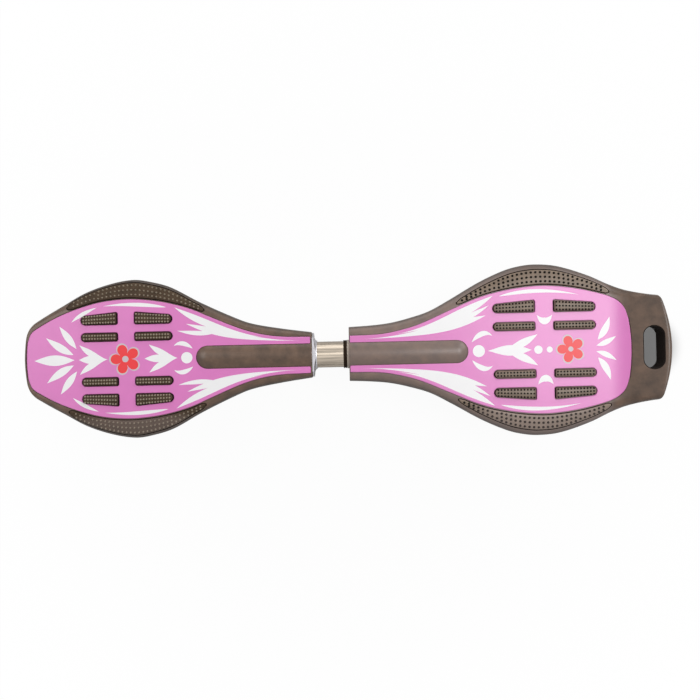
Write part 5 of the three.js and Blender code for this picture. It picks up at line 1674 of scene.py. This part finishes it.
# %% Kingpin bolts and seals
crown_top, crown_foot, kingpin_head = -8.8, -13.8, 9.8
seal_inner = race_seat_radius / math.cos(math.pi / 16)
seal_outer = seal_inner + 2
seal_corners = [
    (seal_inner, -8.5), (seal_outer, -8.5), (seal_outer, -6.4), (seal_outer - 0.9, -5.8),
    (seal_outer - 0.9, -4.8), (seal_outer, -4.2), (seal_outer, -1.6), (seal_outer - 0.7, -0.3),
    (seal_inner, -0.3),
]
for deck in (front, rear):
    name, pivot = deck["name"], pivots[deck["name"]]
    head_foot, head_top = crown_foot - 6.7, crown_foot - 0.3
    head = hexagon("head", kingpin_head, head_foot, head_top, pivot, swivel_up, 0, (True, False))
    shank = rod("shank", kingpin_radius, crown_foot - 1, kingpin_tip, pivot, swivel_up, 48)
    bolt = combined(head, [shank], "UNION")
    bolt.name = name + "_kingpin_hex_bolt"
    finished(bolt, deck["body"], "bolt_steel", [name + "_kingpin_bolt"])
    nut_bore = kingpin_radius + clearance
    nut = hexagon(name + "_kingpin_hex_nut", kingpin_head, nut_foot, nut_top, pivot, swivel_up, nut_bore)
    finished(nut, deck["body"], "bolt_steel", [name + "_kingpin_nut"])
    seal = turned(name + "_swivel_seal_lip", rounded(seal_corners, 0.4), pivot, swivel_up, 128)
    finished(seal, name + "_caster", "seal_rubber", [name + "_swivel_seal"])
    print(name, "kingpin:", round(kingpin_tip - head_foot, 1), "mm long")

# %% [markdown]
# A fork is pressed from thick sheet: a round crown under the seal and two arms that lean back to the axle,
# which trails behind the swivel axis so that the wheel follows. Each arm is a flat plate with rounded
# edges, and a shallow pressing in its outer face stiffens it.

# %% Fork arms
axle_place, arm_end_radius = np.array([28.0, -57.0]), 11
arm_inner, arm_outer, pressing_inset = 14.5, 18.5, 5.4
pressing_end, pressing_radius = axle_place + (-7.8, 12.9), 5


def caster_points(pivot, x, y, z):
    """Points from the pivot: x along the swivel's side direction, y across the board, z along its axis."""
    x, y, z = np.broadcast_arrays(np.asarray(x, float), np.asarray(y, float), np.asarray(z, float))
    across = y[..., None] * np.array([0, 1.0, 0])
    return pivot + x[..., None] * swivel_side + across + z[..., None] * swivel_up


def arm_outlines():
    """The edge of an arm and that of its pressing, point for point, in side and up from the pivot: an arc
    r (cos a, sin a) about the axle or a place above it, and four corners, the pressing's further in."""
    a = np.radians(np.linspace(-135, 18, 25))
    arc = np.column_stack([np.cos(a), np.sin(a)])
    corners = np.array([(20, -20), (20, crown_top - 0.6), (-16, crown_top - 0.6), (-16, -18.8)])
    arm_end = axle_place + arm_end_radius * arc
    inner = offset(np.vstack([arm_end, corners]), pressing_inset)[-4:]
    outlines = []
    for end, shoulders, radius in ((arm_end, corners, 6), (pressing_end + pressing_radius * arc, inner, 3)):
        upper = rounded([end[-1], *shoulders, end[0]], radius, steps=6, closed=False)
        outlines.append(np.vstack([end[1:-1], upper]))
    return outlines


def fork_arm(pivot):
    """The arm on the +Y side: rings from its inner face to its outer face and into the pressing."""
    arm, pressing = arm_outlines()
    rings = [
        (arm, 0.5, arm_inner), (arm, 0.15, arm_inner + 0.15), (arm, 0, arm_inner + 0.5),
        (arm, 0, arm_outer - 0.5), (arm, 0.15, arm_outer - 0.15), (arm, 0.5, arm_outer),
        (pressing, 0, arm_outer), (pressing, 0.2, arm_outer - 0.1), (pressing, 0.7, arm_outer - 0.8),
        (pressing, 1, arm_outer - 0.9),
    ]
    points = []
    for outline, inset, level in rings:
        moved = offset(outline, inset)
        points.append(caster_points(pivot, moved[:, 0], level, moved[:, 1]))
    return raw_mesh("arm", np.concatenate(points), tube_faces(len(rings), len(arm)))


print("an arm's outline has", len(arm_outlines()[0]), "points")

# %% [markdown]
# The crown is a round plate with its edge rounded. Both arms are joined to it first, and then the axle's
# holes and the kingpin's hole go through all of it at once, as they would be bored on the real fork.

# %% Forks
across_board = (0.0, 1.0, 0.0)
fork_crown_radius, axle_radius = 22, 4


def fork(name, pivot):
    """Crown and arms in one, with the axle's holes and the kingpin's hole."""
    edge_line = [(fork_crown_radius, crown_top), (fork_crown_radius, crown_foot)]
    rim = rounded([(0, crown_top), *edge_line, (0, crown_foot)], 1.2, closed=False)
    body = turned(name + "_pressed_fork", rim, pivot, swivel_up, 128, False)
    combined(body, [fork_arm(pivot), mirror_y(fork_arm(pivot))], "UNION")
    axle = caster_points(pivot, axle_place[0], 0, axle_place[1])
    pin_hole = rod("pin", kingpin_radius + 2 * clearance, -40, 10, pivot, swivel_up, 48)
    axle_hole = rod("axle", axle_radius + clearance, -40, 40, axle, across_board, 48)
    return combined(body, [pin_hole, axle_hole], "DIFFERENCE")


for name in ("front", "rear"):
    piece = fork(name, pivots[name])
    finished(piece, name + "_caster", "fork_paint", [name + "_fork"], angle=30)
    print(piece.name, len(piece.data.polygons), "faces")

# %% [markdown]
# A tyre is cast polyurethane with a flat tread and round shoulders. Its hub has a rim, five spokes that
# widen into it, and a housing for two ball bearings, and is joined from those pieces.

# %% Tyres and hubs
tyre_radius, wheel_half, shoulder_radius, rim_inner, rim_outer = 38, 12, 7, 18.4, 21
housing_radius, bearing_radius, step_radius, step_half = 14.3, 11.3, 9, 4.7
spoke_count, spoke_half, spoke_root, spoke_depth = 5, 2, 1.6, 8.4


def tyre_profile():
    """Radius and height of the tyre's section. A shoulder is a quarter circle, r (1 - sin a) in from the
    tread and r (1 - cos a) down from the side, and a shallow groove runs round each side."""
    a = np.linspace(0, np.pi / 2, 13)
    radii = tyre_radius - shoulder_radius * (1 - np.sin(a))
    shoulder = np.column_stack([radii, wheel_half - shoulder_radius * (1 - np.cos(a))])
    side = np.array([(21.3, 11.6), (21.7, 12), (24.2, 12), (24.8, 11.5), (26.2, 11.5), (26.8, 12)])
    half = np.vstack([side, shoulder])
    return np.vstack([half, half[::-1] * (1, -1)])


def spoke(index, centre):
    """A spoke of half thickness spoke_half + spoke_root k^4, with k from -1 to 1 along it."""
    r = np.linspace(13.6, 19.4, 11)
    half = spoke_half + spoke_root * ((r - 16.5) / 2.9) ** 4
    outline = np.vstack([np.column_stack([r, -half]), np.column_stack([r, half])[::-1]])
    turn = 2 * math.pi * index / spoke_count
    out = np.array([math.cos(turn), 0, math.sin(turn)])
    beside = np.array([-math.sin(turn), 0, math.cos(turn)])

    def stood(points, level):
        return centre + points[:, :1] * out + points[:, 1:] * beside + level * np.array(across_board)

    return plate("spoke", outline, -spoke_depth, spoke_depth, stood, round_low=0.8, round_high=0.8)


def wheel_hub(name, centre):
    """Rim, housing with bearing seats, and spokes, joined."""
    band = ring_profile(rim_inner, rim_outer, -wheel_half, wheel_half, 0.5)
    rim = turned(name + "_spoked_hub", band, centre, across_board, 128)
    seats = [
        (bearing_radius, -wheel_half), (housing_radius, -wheel_half), (housing_radius, wheel_half),
        (bearing_radius, wheel_half), (bearing_radius, step_half), (step_radius, step_half),
        (step_radius, -step_half), (bearing_radius, -step_half),
    ]
    core = turned("core", rounded(seats, 0.3), centre, across_board, 96)
    return combined(rim, [core] + [spoke(i, centre) for i in range(spoke_count)], "UNION")


for name in ("front", "rear"):
    centre = joint_place[name + "_wheel_spin"]
    tyre = turned(name + "_cast_tyre", tyre_profile(), centre, across_board, 160)
    finished(tyre, name + "_wheel", "wheel_urethane", [name + "_wheel_tyre"])
    finished(wheel_hub(name, centre), name + "_wheel", "hub_plastic", [name + "_wheel_hub"], angle=30)
    print(name, "wheel at", centre.round(1).tolist())

# %% [markdown]
# Each bearing shows a shield between its rings, set back a little. The axle is a bolt through both arms,
# with a washer beside each bearing and a lock nut, whose band holds a nylon ring.

# %% Bearings and axles
axle_bore, cone_radius, washer_radius, axle_head = axle_radius + clearance, 6, 7, 7.4
shield = [(6.3, 5.5), (9.2, 5.5), (9.4, 5), (11, 5), (11, 12), (9.4, 12), (9.2, 11.5), (6.3, 11.5)]
for name in ("front", "rear"):
    centre, body, caster = joint_place[name + "_wheel_spin"], name + "_wheel", name + "_caster"
    for label, way in (("left", 1), ("right", -1)):
        race = turned(f"{name}_race_{label}", rounded(shield, 0.25) * (1, way), centre, across_board, 96)
        finished(race, body, "bolt_steel", [f"{name}_bearing_outer_{label}"])
        profile = ring_profile(axle_bore, cone_radius, 5, 12) * (1, way)
        cone = turned(f"{name}_cone_{label}", profile, centre, across_board, 64)
        finished(cone, caster, "bolt_steel", [f"{name}_bearing_inner_{label}"])
        profile = ring_profile(axle_bore, washer_radius, 12.3, 14.2, 0.3) * (1, way)
        washer = turned(f"{name}_spacer_{label}", profile, centre, across_board, 64)
        finished(washer, caster, "bolt_steel", [f"{name}_axle_washer_{label}"])
    head = hexagon("head", axle_head, 18.8, 24.1, centre, across_board, 0, (False, True))
    shank = rod("shank", axle_radius, -26.6, 19.5, centre, across_board, 48, 0.5)
    bolt = combined(head, [shank], "UNION")
    bolt.name = name + "_axle_hex_bolt"
    finished(bolt, caster, "bolt_steel", [name + "_axle_bolt"])
    lock_nut = name + "_axle_lock_nut"
    nut = hexagon(lock_nut, axle_head, -24.9, -18.8, centre, across_board, axle_bore, (True, False))
    band = turned("band", ring_profile(axle_bore, 5.7, -26.3, -24.5, 0.6), centre, across_board, 64)
    combined(nut, [band], "UNION")
    finished(nut, caster, "bolt_steel", [name + "_axle_nut"])
    print(name, "axle made")
